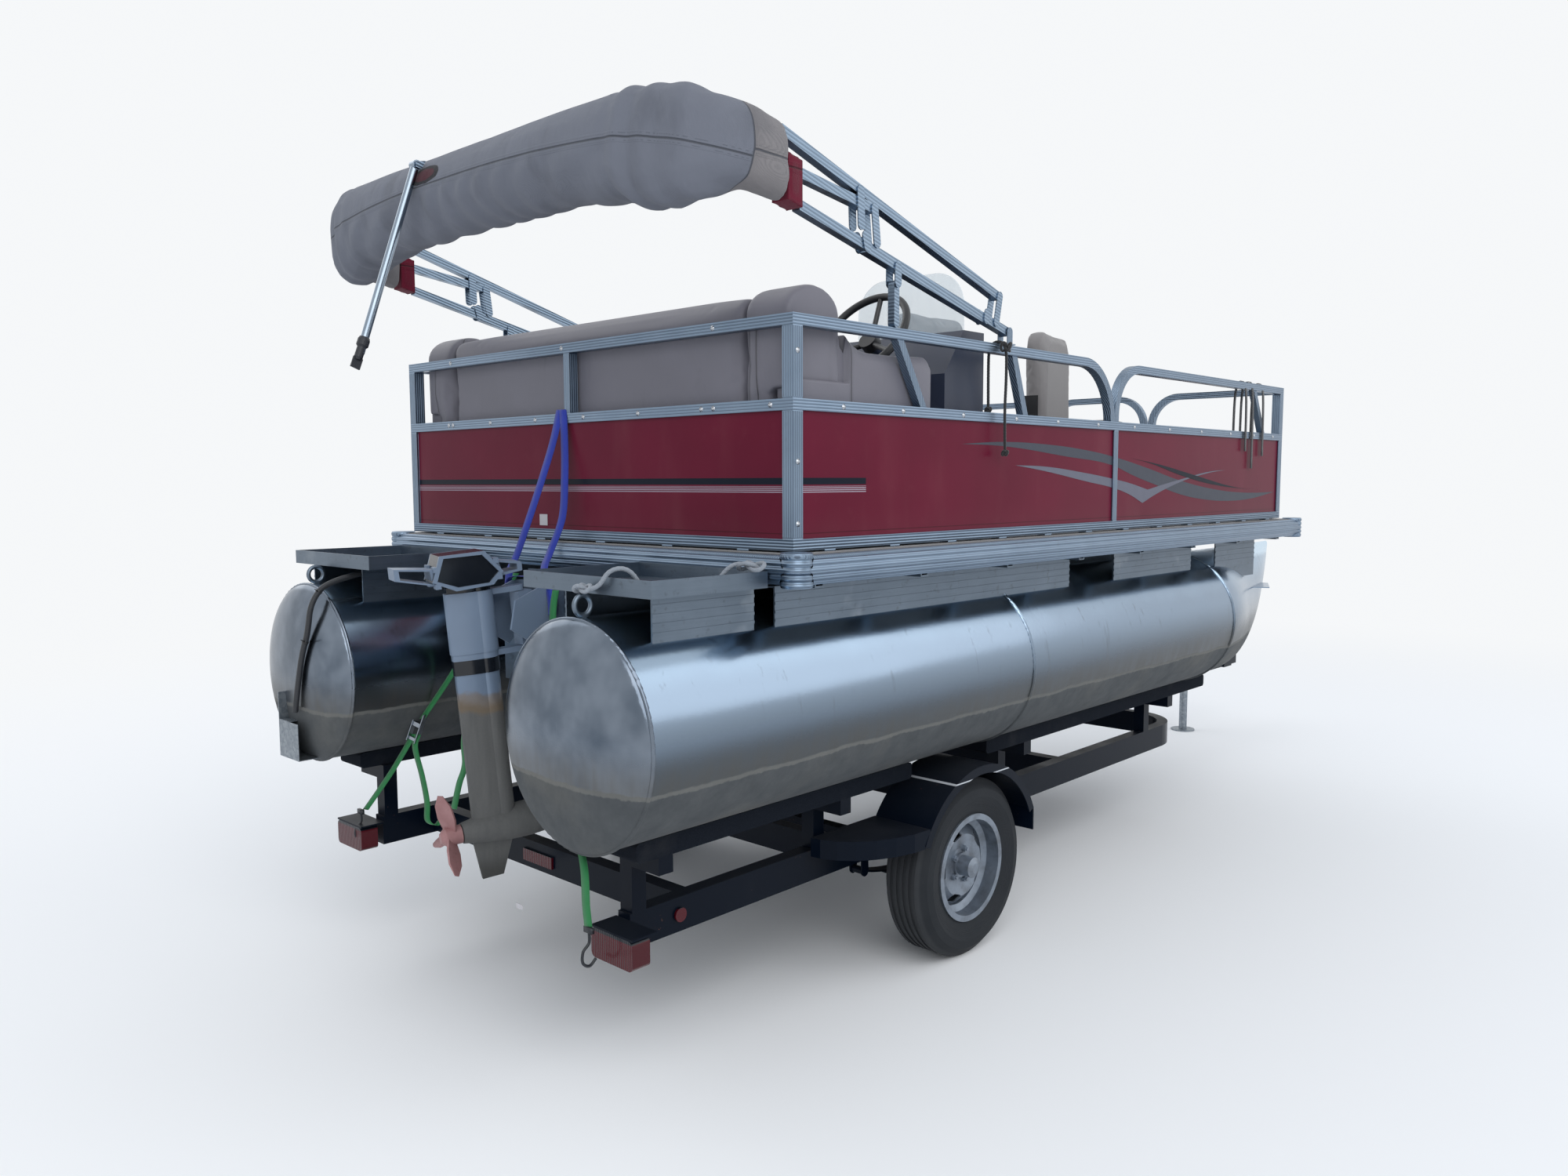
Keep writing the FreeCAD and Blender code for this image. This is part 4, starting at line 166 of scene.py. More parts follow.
class Finish(Nodes):
    """A material, and the nodes that vary it over its piece."""

    def __init__(self, name, settings):
        self.material = bpy.data.materials.new(name)
        self.material.use_nodes = True
        super().__init__(self.material.node_tree)
        self.shader = self.tree.nodes["Principled BSDF"]
        self.coords = self.node("TexCoord", {}, {}, "Object")
        self.x = self.node("SeparateXYZ", {}, {0: self.coords}, "X")
        self.y = Level(self, self.x.socket.node.outputs["Y"])
        self.z = Level(self, self.x.socket.node.outputs["Z"])
        self.set(settings)

    def set(self, sockets):
        """Values or links for the shader's sockets, by their names."""
        for name, value in sockets.items():
            self.feed(self.shader.inputs[name], value)

    def grain(self, scale, detail=3.0, rough=0.55, vector=None):
        """Cloudy noise, from 0 to 1."""
        inputs = {"Vector": vector or self.coords, "Scale": scale, "Detail": detail, "Roughness": rough}
        return self.node("TexNoise", {}, inputs)

    def streaks(self, x, y, z, detail=4.0, rough=0.6):
        """Noise whose scale differs along each axis."""
        vector = self.node("Mapping", {}, {"Vector": self.coords, "Scale": (x, y, z)})
        return self.grain(1.0, detail, rough, vector)

    def ripple(self, level, pitch):
        """A wave from 0 to 1 along a level, one crest to each pitch."""
        return self.maths("SINE", level * (2 * math.pi / pitch)) * 0.5 + 0.5

    def relief(self, height, strength, depth):
        """The surface's normal with bumps of that depth in metres."""
        inputs = {"Height": height, "Strength": strength, "Distance": depth}
        self.set({"Normal": self.node("Bump", {}, inputs)})
        return self


def bright_aluminium():
    """Polished float skin, dull and stained below its waterline, with painted reflection: darker low on its
    side, lighter over its crown and a pale band along its top.
    """
    finish = Finish("bright_aluminium", {"Metallic": 1.0})
    cloud = finish.grain(5.0)
    fine = finish.grain(60.0)
    runs = finish.streaks(26, 26, 1.5)
    line = WATERLINE_Z + (cloud - 0.5) * 0.030 + (fine - 0.5) * 0.010
    below = 1 - finish.rise(finish.z, line - 0.003, line + 0.003)
    rim = finish.band(finish.z, line - 0.010, line + 0.006, 0.005)
    scum = (1 - finish.rise(finish.z, line, line + 0.13)) * (0.30 + 0.70 * runs)
    # Painted reflection: the side darkens towards the bottom, the crown lightens, and a pale painted sky band
    # runs along the top.
    crown = finish.rise(finish.z + (cloud - 0.5) * 0.05, 1.14, 1.26)
    dry = finish.mix(finish.rise(finish.z, 0.95, 1.12), (0.095, 0.118, 0.145), (0.27, 0.345, 0.44))
    dry = finish.mix(crown, dry, (0.36, 0.475, 0.60))
    dry = finish.mix(finish.rise(finish.z, 1.255, 1.285), dry, (0.60, 0.76, 0.90))
    ends = 1 - finish.rise(finish.x, CAP_X + 0.002, CAP_X + 0.006)
    patch = finish.mix(finish.rise(cloud, 0.3, 0.7), (0.085, 0.110, 0.145), (0.200, 0.235, 0.285))
    dry = finish.mix(ends, dry, patch)
    dry = finish.mix(finish.rise(runs, 0.60, 0.74) * 0.35, dry, (0.13, 0.15, 0.17))
    dry = finish.mix(scum * 0.80, dry, (0.125, 0.115, 0.095))
    wet = finish.mix(finish.grain(14.0, 5.0), (0.050, 0.058, 0.066), (0.115, 0.124, 0.130))
    wet = finish.mix(finish.rise(finish.grain(3.0, 5.0), 0.45, 0.70) * 0.5, wet, (0.15, 0.15, 0.14))
    wet = finish.mix(rim * 0.55, wet, (0.21, 0.21, 0.195))
    finish.set({
        "Base Color": finish.mix(below, dry, wet),
        "Roughness": 0.17 + cloud * 0.08 + scum * 0.30 + below * (0.34 + fine * 0.18),
        "Metallic": 1 - below * 0.55,
    })
    dents = finish.grain(1.6, 2.0) + fine * 0.02 + (below + scum * 0.3) * fine * 0.05
    return finish.relief(dents, 0.35, 0.02)


def mill_aluminium():
    """Brushed sheet with water marks."""
    finish = Finish("mill_aluminium", {"Metallic": 1.0})
    brush = finish.streaks(4, 4, 420)
    streak = finish.streaks(3, 3, 60)
    cloud = finish.grain(7.0)
    tone = finish.mix(cloud * 0.6 + streak * 0.4, (0.092, 0.120, 0.153), (0.206, 0.252, 0.308))
    spots = finish.rise(finish.grain(35.0), 0.60, 0.72) * 0.35
    tone = finish.mix(spots, tone, (0.07, 0.08, 0.09))
    tone = finish.mix(finish.rise(finish.grain(4.0, 4.0), 0.6, 0.7) * 0.3, tone, (0.36, 0.40, 0.44))
    finish.set({"Base Color": tone, "Roughness": 0.28 + brush * 0.18 + cloud * 0.10})
    return finish.relief(brush + streak * 0.6, 0.3, 0.0009)


def extrusion():
    """Satin aluminium section with fine lengthwise reeds, and painted shade in their troughs."""
    finish = Finish("extrusion", {"Metallic": 1.0})
    rails = 1 - finish.rise(finish.z, DECK_EDGE_Z - 0.0001, DECK_EDGE_Z)
    for low, high in RAILS_Z:
        rails = rails + finish.band(finish.z, low, high, 0.001)
    rails = finish.maths("MINIMUM", rails, 1.0)
    across = finish.x + finish.y
    reeds = rails * finish.ripple(finish.z, 0.0085) + (1 - rails) * finish.ripple(across, 0.0085)
    cloud = finish.grain(9.0)
    tone = finish.mix(cloud, (0.165, 0.225, 0.305), (0.250, 0.325, 0.420))
    # Painted shade in the troughs of the reeds.
    tone = finish.mix((1 - finish.rise(reeds, 0.0, 0.22)) * 0.65, tone, (0.055, 0.070, 0.095))
    tone = finish.mix(finish.rise(finish.grain(26.0, 5.0), 0.62, 0.8) * 0.3, tone, (0.12, 0.13, 0.14))
    finish.set({"Base Color": tone, "Roughness": 0.30 + cloud * 0.14})
    return finish.relief(reeds, 0.8, 0.0012)


def tube_metal():
    """Satin aluminium canopy tube with two reeds each face, and painted shade in their troughs."""
    finish = Finish("tube_metal", {"Metallic": 1.0})
    cloud = finish.grain(11.0)
    reeds = finish.ripple(finish.z + finish.x * 0.262, 0.0105)
    tone = finish.mix(cloud, (0.165, 0.225, 0.300), (0.250, 0.325, 0.415))
    # Painted shade in the troughs of the reeds.
    tone = finish.mix((1 - finish.rise(reeds, 0.0, 0.25)) * 0.55, tone, (0.070, 0.090, 0.120))
    finish.set({"Base Color": tone, "Roughness": 0.28 + cloud * 0.12})
    return finish.relief(reeds, 0.6, 0.0010)


def red_panel():
    """Gloss burgundy sheet with a black pinstripe over fine silver lines."""
    finish = Finish("red_panel", {"Roughness": 0.30, "Specular IOR Level": 0.10})
    colours = bpy.context.scene.boat_colours
    cloud = finish.grain(2.2)
    base = finish.mix(cloud, tinted(colours.panel, 0.70), tinted(colours.panel, 1.20))
    haze = finish.rise(finish.streaks(6, 6, 1.6, 3.0, 0.5), 0.50, 0.80) * 0.16
    splashed = (1 - finish.rise(finish.z, 1.508, 1.60)) * 0.06
    dust = finish.rise(finish.grain(18.0, 5.0), 0.55, 0.9) * 0.08 + splashed
    base = finish.mix(haze + dust, base, (0.22, 0.075, 0.085))
    edge = finish.band(finish.z, 1.521, 1.523, 0.0008)
    base = finish.mix(edge * 0.6, base, (0.03, 0.002, 0.006))
    aft = 1 - finish.rise(finish.x, STRIPE_END_X, STRIPE_END_X + 0.002)
    black = finish.band(finish.z, 1.658, 1.676, 0.0006) * aft
    hairs = finish.rise(finish.ripple(finish.z, 0.0056), 0.42, 0.5)
    lines = finish.band(finish.z, 1.634, 1.653, 0.0006) * hairs * aft
    base = finish.mix(lines, base, colours.silver)
    finish.set({"Base Color": finish.mix(black, base, colours.black)})
    return finish.relief(finish.grain(2.0), 0.2, 0.004)


def paint_line(name, colour):
    """Gloss vinyl film on the panels."""
    finish = Finish(name, {"Specular IOR Level": 0.12})
    cloud = finish.grain(25.0)
    tone = finish.mix(cloud * 0.3, colour, tinted(colour, 0.7))
    finish.set({"Base Color": tone, "Roughness": 0.35 + cloud * 0.1})
    return finish


def deck_carpet():
    """Short pile marine carpet."""
    finish = Finish("deck_carpet", {"Roughness": 0.95, "Sheen Weight": 0.3})
    pile = finish.grain(700.0, 2.0)
    cloud = finish.grain(6.0)
    tone = finish.mix(pile, (0.12, 0.115, 0.115), (0.24, 0.23, 0.23))
    finish.set({"Base Color": finish.mix(cloud * 0.4, tone, (0.10, 0.10, 0.095))})
    return finish.relief(pile, 0.6, 0.003)


def vinyl(name, colour, seams=()):
    """Soft grained upholstery vinyl, with stitched seams where a level from a seam's function is nought, and
    painted shade in their grooves.
    """
    finish = Finish(name, {"Specular IOR Level": 0.35, "Sheen Weight": 0.06})
    cloud = finish.grain(3.2)
    pores = finish.node("TexVoronoi", {}, {"Vector": finish.coords, "Scale": 650.0})
    creases = finish.grain(28.0, 4.0, 0.6)
    tone = finish.mix(cloud, tinted(colour, 0.78), tinted(colour, 1.16))
    marks = finish.rise(finish.grain(9.0, 5.0, 0.7), 0.6, 0.85) * 0.22
    tone = finish.mix(marks, tone, tinted(colour, 0.55))
    drips = finish.rise(finish.streaks(18, 18, 2.5), 0.58, 0.80) * 0.18
    tone = finish.mix(drips, tone, tinted(colour, 0.45))
    height = pores * 0.12 + creases * 0.35 + cloud * 0.9
    for seam in seams:
        gap = finish.maths("ABSOLUTE", seam(finish))
        groove = 1 - finish.rise(gap, 0.0010, 0.0030)
        roll = finish.band(gap, 0.0030, 0.0075, 0.003)
        # Painted shade in the seam's groove; the roll beside it is darkened slightly too.
        tone = finish.mix(groove * 0.8 + roll * 0.10, tone, tinted(colour, 0.22))
        height = height - groove * 1.4 + roll * 0.6
    finish.set({"Base Color": tone, "Roughness": 0.44 + cloud * 0.14 + marks * 0.4})
    return finish.relief(height, 0.6, 0.0024)


def plane_seam(axis, place):
    """A seam in a plane square to an axis."""
    return lambda finish: getattr(finish, axis) - place


def upright_seam(place, top):
    """A seam square to Y that ends at a height."""
    def level(finish):
        above = finish.maths("MAXIMUM", finish.z - top, 0.0)
        return finish.maths("ABSOLUTE", finish.y - place) + above * 4

    return level


def dome_seam(side):
    """The seam over a corner pad's dome, a bow from its outer foot to its inner one."""
    return lambda finish: finish.x + 2.300 - (finish.y * side - 0.869) * 1.25


def moulded(name, colour, rough, speck=0.3):
    """Moulded plastic or paint with a faint grain."""
    finish = Finish(name, {})
    cloud = finish.grain(12.0)
    fine = finish.grain(420.0)
    tone = finish.mix(cloud * speck, colour, tuple(c * 1.6 + 0.02 for c in colour))
    finish.set({"Base Color": tone, "Roughness": rough + (cloud - 0.5) * 0.2})
    return finish.relief(fine, 0.2, 0.0006)


def trailer_paint(name, stripe=None):
    """Gloss black paint, dusty on its upper faces and chipped in random places."""
    finish = Finish(name, {"Specular IOR Level": 0.10})
    cloud = finish.grain(6.0, 5.0)
    chips = finish.rise(finish.grain(90.0, 2.0), 0.70, 0.73) * finish.rise(finish.grain(7.0), 0.5, 0.7)
    up = finish.node("SeparateXYZ", {}, {0: finish.node("NewGeometry", {}, {}, "Normal")}, "Z")
    dust = finish.rise(up, 0.4, 1.0) * 0.30 * cloud + finish.rise(cloud, 0.5, 0.9) * 0.05
    tone = finish.mix(dust, (0.0016, 0.0045, 0.0110), (0.060, 0.062, 0.066))
    tone = finish.mix(chips * 0.6, tone, (0.16, 0.08, 0.05))
    if stripe:
        line = finish.band(finish.z, stripe, stripe + 0.004, 0.0006) * 0.85
        tone = finish.mix(line, tone, (0.55, 0.58, 0.62))
    finish.set({"Base Color": tone, "Roughness": 0.28 + dust * 1.2 + chips * 0.3})
    return finish.relief(finish.grain(30.0), 0.15, 0.001)


def bunk_carpet():
    """Dark worn carpet stapled round the bunk timbers."""
    finish = Finish("bunk_carpet", {"Roughness": 0.95, "Specular IOR Level": 0.1})
    pile = finish.grain(420.0, 3.0)
    cloud = finish.grain(9.0)
    tone = finish.mix(pile, (0.0020, 0.0040, 0.0085), (0.016, 0.020, 0.028))
    finish.set({"Base Color": finish.mix(finish.rise(cloud, 0.5, 0.8) * 0.25, tone, (0.05, 0.05, 0.052))})
    return finish.relief(pile * 0.6 + cloud, 0.7, 0.004)


def tyre_rubber():
    """Tyre rubber with a dusty tread and fine side ribs."""
    finish = Finish("tyre_rubber", {"Specular IOR Level": 0.25})
    cloud = finish.grain(10.0, 5.0)
    offset = {0: finish.coords, 1: (1, 0, 1), 2: (-AXLE_X, 0, -AXLE_Z)}
    spoke = finish.node("VectorMath", {"operation": "MULTIPLY_ADD"}, offset)
    radius = finish.node("VectorMath", {"operation": "LENGTH"}, {0: spoke}, "Value")
    tread = finish.rise(radius, 0.296, 0.306)
    tone = finish.mix(cloud * 0.5 + tread * 0.3, (0.0060, 0.0090, 0.0130), (0.046, 0.048, 0.052))
    finish.set({"Base Color": tone, "Roughness": 0.62 + cloud * 0.25})
    ribs = finish.ripple(radius, 0.006) * finish.band(radius, 0.215, 0.235, 0.004)
    return finish.relief(ribs + finish.grain(200.0) * 0.3, 0.6, 0.0012)


def wheel_silver():
    """Silver painted steel with random patches of brake dust."""
    finish = Finish("wheel_silver", {"Metallic": 0.75})
    cloud = finish.grain(20.0, 5.0)
    tone = finish.mix(finish.rise(cloud, 0.35, 0.75) * 0.6, (0.25, 0.29, 0.345), (0.09, 0.09, 0.095))
    finish.set({"Base Color": tone, "Roughness": 0.32 + cloud * 0.2})
    return finish.relief(finish.grain(120.0), 0.1, 0.0006)


def lens(name, colour):
    """Ribbed clear-coated lamp lens."""
    finish = Finish(name, {"Coat Weight": 0.25, "Coat Roughness": 0.08})
    finish.set({"Roughness": 0.25, "Specular IOR Level": 0.2})
    ribs = finish.ripple(finish.y, 0.008)
    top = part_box("tail_lamps")[1][2]
    shelf = finish.rise(finish.z, top - 0.010, top - 0.008)
    tone = finish.mix(ribs * 0.5, tinted(colour, 0.65), tinted(colour, 0.3))
    finish.set({"Base Color": finish.mix(shelf, tone, (0.004, 0.007, 0.012))})
    return finish.relief(ribs, 0.7, 0.001)


def galvanised():
    """Zinc plated steel with soft spangle."""
    finish = Finish("galvanised", {"Metallic": 1.0})
    spangle = finish.node("TexVoronoi", {}, {"Vector": finish.coords, "Scale": 90.0}, "Color")
    flake = finish.node("SeparateXYZ", {}, {0: spangle}, "X")
    tone = finish.mix(flake, (0.21, 0.24, 0.275), (0.32, 0.355, 0.39))
    finish.set({"Base Color": tone, "Roughness": 0.38 + finish.grain(30.0) * 0.2})
    return finish.relief(finish.grain(80.0), 0.1, 0.001)


def polished_tube():
    """Bright strut tube."""
    finish = Finish("polished_tube", {"Metallic": 1.0})
    scuff = finish.grain(9.0, 4.0)
    tone = finish.mix(scuff, (0.34, 0.40, 0.47), (0.20, 0.25, 0.31))
    finish.set({"Base Color": tone, "Roughness": 0.16 + scuff * 0.12})
    return finish


def clear_screen():
    """Thin clear sheet with a faint blue edge and wiping marks."""
    finish = Finish("clear_screen", {"IOR": 1.49, "Coat Weight": 1.0, "Coat Roughness": 0.03})
    smear = finish.streaks(4, 12, 3)
    finish.set({"Base Color": (0.62, 0.76, 0.84)})
    finish.set({"Roughness": 0.08 + smear * 0.15, "Alpha": 0.20 + smear * 0.14})
    return finish


def motor_paint():
    """Pale grey lower-unit paint, stained with dried mud towards the foot."""
    finish = Finish("motor_paint", {"Metallic": 0.2})
    cloud = finish.grain(16.0, 5.0)
    fine = finish.grain(160.0, 4.0)
    runs = finish.streaks(45, 45, 5)
    line = MUD_LINE_Z + (cloud - 0.5) * 0.05
    mud = 1 - finish.rise(finish.z, line - 0.03, line + 0.01)
    crust = finish.band(finish.z, line - 0.035, line + 0.005, 0.02)
    clean = finish.mix(cloud * 0.5, (0.165, 0.225, 0.315), (0.115, 0.155, 0.215))
    dirty = finish.mix(runs * 0.6 + fine * 0.4, (0.060, 0.064, 0.066), (0.165, 0.165, 0.160))
    dirty = finish.mix((1 - finish.rise(finish.z, 0.40, 0.48)) * 0.75, dirty, (0.035, 0.035, 0.032))
    tone = finish.mix(mud, clean, dirty)
    tone = finish.mix(crust * 0.65, tone, (0.17, 0.12, 0.07))
    finish.set({"Base Color": tone, "Roughness": 0.34 + mud * (0.30 + fine * 0.25)})
    return finish.relief(fine * 0.5 + mud * runs, 0.4, 0.0015)


def worn_copper():
    """Pink-brown propeller paint worn back in random chips."""
    finish = Finish("worn_copper", {"Roughness": 0.5})
    cloud = finish.grain(22.0, 5.0)
    tone = finish.mix(cloud, (0.215, 0.085, 0.085), (0.42, 0.235, 0.235))
    chipped = finish.rise(finish.grain(55.0, 3.0), 0.6, 0.75) * 0.5
    finish.set({"Base Color": finish.mix(chipped, tone, (0.12, 0.07, 0.06))})
    return finish.relief(cloud, 0.4, 0.0012)


def canvas(name, colour, seam, front=None):
    """Woven acrylic canvas with sun-faded patches, soft creases and a stitched seam, with painted shade in
    the creases and the seam's groove.
    """
    finish = Finish(name, {"Roughness": 0.88, "Sheen Weight": 0.12, "Specular IOR Level": 0.2})
    weave = finish.ripple(finish.x + finish.z, 0.0016) * finish.ripple(finish.y, 0.0016)
    cloud = finish.grain(2.6, 3.0)
    creases = finish.streaks(7, 14, 6, 4.0, 0.5)
    tone = finish.mix(cloud, tinted(colour, 0.80), tinted(colour, 1.16))
    if front:
        panel = finish.rise(finish.x, BOOT_PANEL_X - 0.002, BOOT_PANEL_X + 0.002)
        tone = finish.mix(panel, tone, tuple(c * 0.7 + d for c, d in zip(colour, front)))
    tone = finish.mix(weave * 0.18, tone, tinted(colour, 0.55))
    # Painted shade in the hollows of the creases.
    shade = (1 - finish.rise(creases, 0.25, 0.5)) * 0.28
    height = creases + weave * 0.05 + finish.grain(35.0, 3.0) * 0.12
    if front:
        along = (finish.y - ZIP_Y) / 0.085
        up = (finish.z - ZIP_Z + finish.maths("ABSOLUTE", along) * 0.004) / 0.030
        oval = along * along + up * up + (finish.grain(30.0) - 0.5) * 0.5
        aft = 1 - finish.rise(finish.x, -2.86, -2.85)
        tone = finish.mix((1 - finish.rise(oval, 0.95, 1.05)) * aft, tone, (0.006, 0.006, 0.009))
        tone = finish.mix((1 - finish.rise(oval, 0.35, 0.50)) * aft, tone, (0.055, 0.004, 0.012))
    gap = finish.maths("ABSOLUTE", seam(finish))
    groove = 1 - finish.rise(gap, 0.0012, 0.0034)
    hem = finish.band(gap, 0.0034, 0.013, 0.002)
    thread = finish.rise(finish.ripple(finish.y + finish.x, 0.006), 0.4, 0.6)
    stitch = finish.band(gap, 0.0085, 0.0100, 0.0005) * thread
    # Painted shade in the seam's groove, together with the dark stitch thread.
    shade = finish.maths("MAXIMUM", shade, groove * 0.92)
    shade = finish.maths("MAXIMUM", shade, stitch * 0.5)
    height = height - groove * 0.5 + hem * 0.12
    finish.set({"Base Color": finish.mix(shade, tone, tinted(colour, 0.40))})
    return finish.relief(height, 0.75, 0.010)


def boot_seam(finish):
    """Height over the boot's long seam, an arch as the bows', and over its end panels' seam."""
    half = finish.maths("ABSOLUTE", finish.y)
    past = finish.maths("MAXIMUM", half - 0.72, 0.0)
    arch = BOOT_SEAM_Z - half * half * 0.050 - past * past * 0.35
    front = finish.rise(finish.x, BOOT_PANEL_X - 0.002, BOOT_PANEL_X)
    joint = 1 - finish.rise(finish.maths("ABSOLUTE", finish.x - BOOT_PANEL_X), 0.0015, 0.0030)
    level = finish.z - arch * (1 - front) - front * 2.497
    return level * (1 - joint)


def webbing(name, colour):
    """Woven strap with fine ribs."""
    finish = Finish(name, {"Roughness": 0.6, "Sheen Weight": 0.2})
    ribs = finish.ripple(finish.z + finish.x * 0.5, 0.0022)
    cloud = finish.grain(14.0)
    tone = finish.mix(cloud * 0.5 + ribs * 0.3, colour, tinted(colour, 0.5))
    finish.set({"Base Color": tone})
    return finish.relief(ribs, 0.6, 0.0008)


def rope_fibre(name, colour):
    """Twisted rope yarn."""
    finish = Finish(name, {"Roughness": 0.85, "Sheen Weight": 0.3})
    yarn = finish.grain(420.0, 2.0)
    finish.set({"Base Color": finish.mix(yarn, tinted(colour, 0.55), tinted(colour, 1.25))})
    return finish.relief(yarn, 0.7, 0.0012)


def dress(finish, *nodes):
    """Puts a finish on CAD nodes, whose shapes stay as they are."""
    for name in nodes:
        piece = frame["nodes"][name]
        if not piece.material_slots:
            piece.data.materials.append(None)
        for slot in piece.material_slots:
            slot.material = finish.material


def piece_from(name, shape, finish, smooth=True, body=BOAT):
    """A new piece from a bmesh, with its finish and the body it rides on."""
    mesh = bpy.data.meshes.new(name)
    shape.to_mesh(mesh)
    shape.free()
    mesh.materials.append(finish.material)
    for face in mesh.polygons:
        face.use_smooth = smooth
    piece = bpy.data.objects.new(name, mesh)
    bpy.context.scene.collection.objects.link(piece)
    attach(piece, body)
    return piece


def slab(shape, low, high, edge):
    """Adds a box between two corners with softened edges."""
    made = bmesh.ops.create_cube(shape, size=1.0)["verts"]
    low, high = Vector(low), Vector(high)
    bmesh.ops.scale(shape, vec=high - low, verts=made)
    bmesh.ops.translate(shape, vec=(low + high) / 2, verts=made)
    edges = list({part for vert in made for part in vert.link_edges})
    bmesh.ops.bevel(shape, geom=edges, offset=edge, segments=2, profile=0.5, affect="EDGES", material=-1)


def ribbon(shape, route, across, width, thick):
    """Adds a flat strap of that width along a route, its flat side square to the route and to across."""
    half = across * (width / 2)
    ends = [shape.verts.new(Vector(route[0]) - half), shape.verts.new(Vector(route[0]) + half)]
    strip = [shape.edges.new(ends)]
    made = list(ends)
    for last, place in zip(route, route[1:]):
        grown = bmesh.ops.extrude_edge_only(shape, edges=strip)["geom"]
        fresh = [part for part in grown if isinstance(part, bmesh.types.BMVert)]
        strip = [part for part in grown if isinstance(part, bmesh.types.BMEdge)]
        for vert in fresh:
            side = 1 if (vert.co - Vector(last)).dot(across) > 0 else -1
            vert.co = Vector(place) + half * side
        made += fresh
    faces = list({face for vert in made for face in vert.link_faces})
    bmesh.ops.recalc_face_normals(shape, faces=faces)
    bmesh.ops.solidify(shape, geom=faces, thickness=thick)


def eased(points, steps):
    """Points of a smooth curve through the given ones."""
    points = [Vector(p) for p in points]
    ends = [points[0]] + points + [points[-1]]
    made = []
    for index in range(1, len(ends) - 2):
        a, b, c, d = ends[index - 1:index + 3]
        for step in range(steps):
            t = step / steps
            bend = (2 * a - 5 * b + 4 * c - d) * t ** 2 + (3 * b - a - 3 * c + d) * t ** 3
            made.append(0.5 * (2 * b + (c - a) * t + bend))
    made.append(points[-1])
    return made


def turned(profile, steps):
    """A round shape spun about Z from (radius, height) points."""
    shape = bmesh.new()
    verts = [shape.verts.new((radius, 0, height)) for radius, height in profile]
    edges = [shape.edges.new(pair) for pair in zip(verts, verts[1:])]
    bmesh.ops.spin(shape, geom=verts + edges, cent=(0, 0, 0), axis=(0, 0, 1),
                   angle=2 * math.pi, steps=steps, use_merge=True)
    bmesh.ops.remove_doubles(shape, verts=shape.verts, dist=1e-5)
    bmesh.ops.recalc_face_normals(shape, faces=shape.faces)
    return shape


def stamped(single, places):
    """Copies of one small shape at each matrix."""
    mesh = bpy.data.meshes.new("stamp")
    single.to_mesh(mesh)
    single.free()
    shape = bmesh.new()
    for place in places:
        before = len(shape.verts)
        shape.from_mesh(mesh)
        shape.verts.ensure_lookup_table()
        bmesh.ops.transform(shape, matrix=place, verts=shape.verts[before:])
    bpy.data.meshes.remove(mesh)
    return shape


def facing(place, normal):
    """A matrix that stands a shape's Z along normal at a place."""
    return Matrix.Translation(place) @ Vector(normal).to_track_quat("Z", "Y").to_matrix().to_4x4()


def centreline(name, route):
    """Evenly spaced points of the open NURBS spline whose control points are the route."""
    curve = bpy.data.curves.new(name, "CURVE")
    curve.dimensions = "3D"
    curve.resolution_u = 24
    line = curve.splines.new("NURBS")
    line.points.add(len(route) - 1)
    for point, place in zip(line.points, route):
        point.co = (*place, 1.0)
    line.order_u = 3
    line.use_endpoint_u = True
    holder = bpy.data.objects.new(name, curve)
    bpy.context.scene.collection.objects.link(holder)
    depsgraph = bpy.context.evaluated_depsgraph_get()
    mesh = bpy.data.meshes.new_from_object(holder.evaluated_get(depsgraph))
    points = [vert.co.copy() for vert in mesh.vertices]
    bpy.data.objects.remove(holder)
    bpy.data.meshes.remove(mesh)
    return points


def paced(points, pace):
    """The same line in steps of about that pace."""
    reach = [0.0]
    for a, b in zip(points, points[1:]):
        reach.append(reach[-1] + (b - a).length)
    count = max(2, round(reach[-1] / pace))
    made = []
    index = 0
    for step in range(count + 1):
        goal = reach[-1] * step / count
        while index < len(points) - 2 and reach[index + 1] < goal:
            index += 1
        share = (goal - reach[index]) / max(1e-9, reach[index + 1] - reach[index])
        made.append(points[index].lerp(points[index + 1], min(1.0, max(0.0, share))))
    return made


def swept(shape, points, radius, sides):
    """Adds a tube along points; radius(place, angle) is its radius at a length and at an angle round it."""
    ahead = (points[1] - points[0]).normalized()
    side = ahead.orthogonal().normalized()
    place = 0.0
    last = None
    ends = []
    for index, point in enumerate(points):
        turned_to = (points[min(index + 1, len(points) - 1)] - points[max(index - 1, 0)]).normalized()
        side = ahead.rotation_difference(turned_to) @ side
        ahead = turned_to
        up = ahead.cross(side)
        ring = []
        for step in range(sides):
            angle = 2 * math.pi * step / sides
            reach = radius(place, angle)
            ring.append(shape.verts.new(point + (side * math.cos(angle) + up * math.sin(angle)) * reach))
        if last:
            for step in range(sides):
                follow = (step + 1) % sides
                shape.faces.new((last[step], last[follow], ring[follow], ring[step]))
            place += (point - points[index - 1]).length
        ends.append(ring)
        last = ring
    shape.faces.new(reversed(ends[0]))
    shape.faces.new(ends[-1])


def laid_rope(thick):
    """The section of a three-strand rope of that diameter."""
    twist = 2 * math.pi / (thick * 3.0)

    def section(place, angle):
        strand = abs(math.cos(1.5 * (angle - twist * place))) ** 0.5
        return thick / 2 * (0.84 + 0.16 * strand)

    return section


def corrugated(thick, pitch):
    """The section of a ribbed conduit."""
    return lambda place, angle: thick / 2 * (0.93 + 0.07 * math.cos(2 * math.pi * place / pitch))


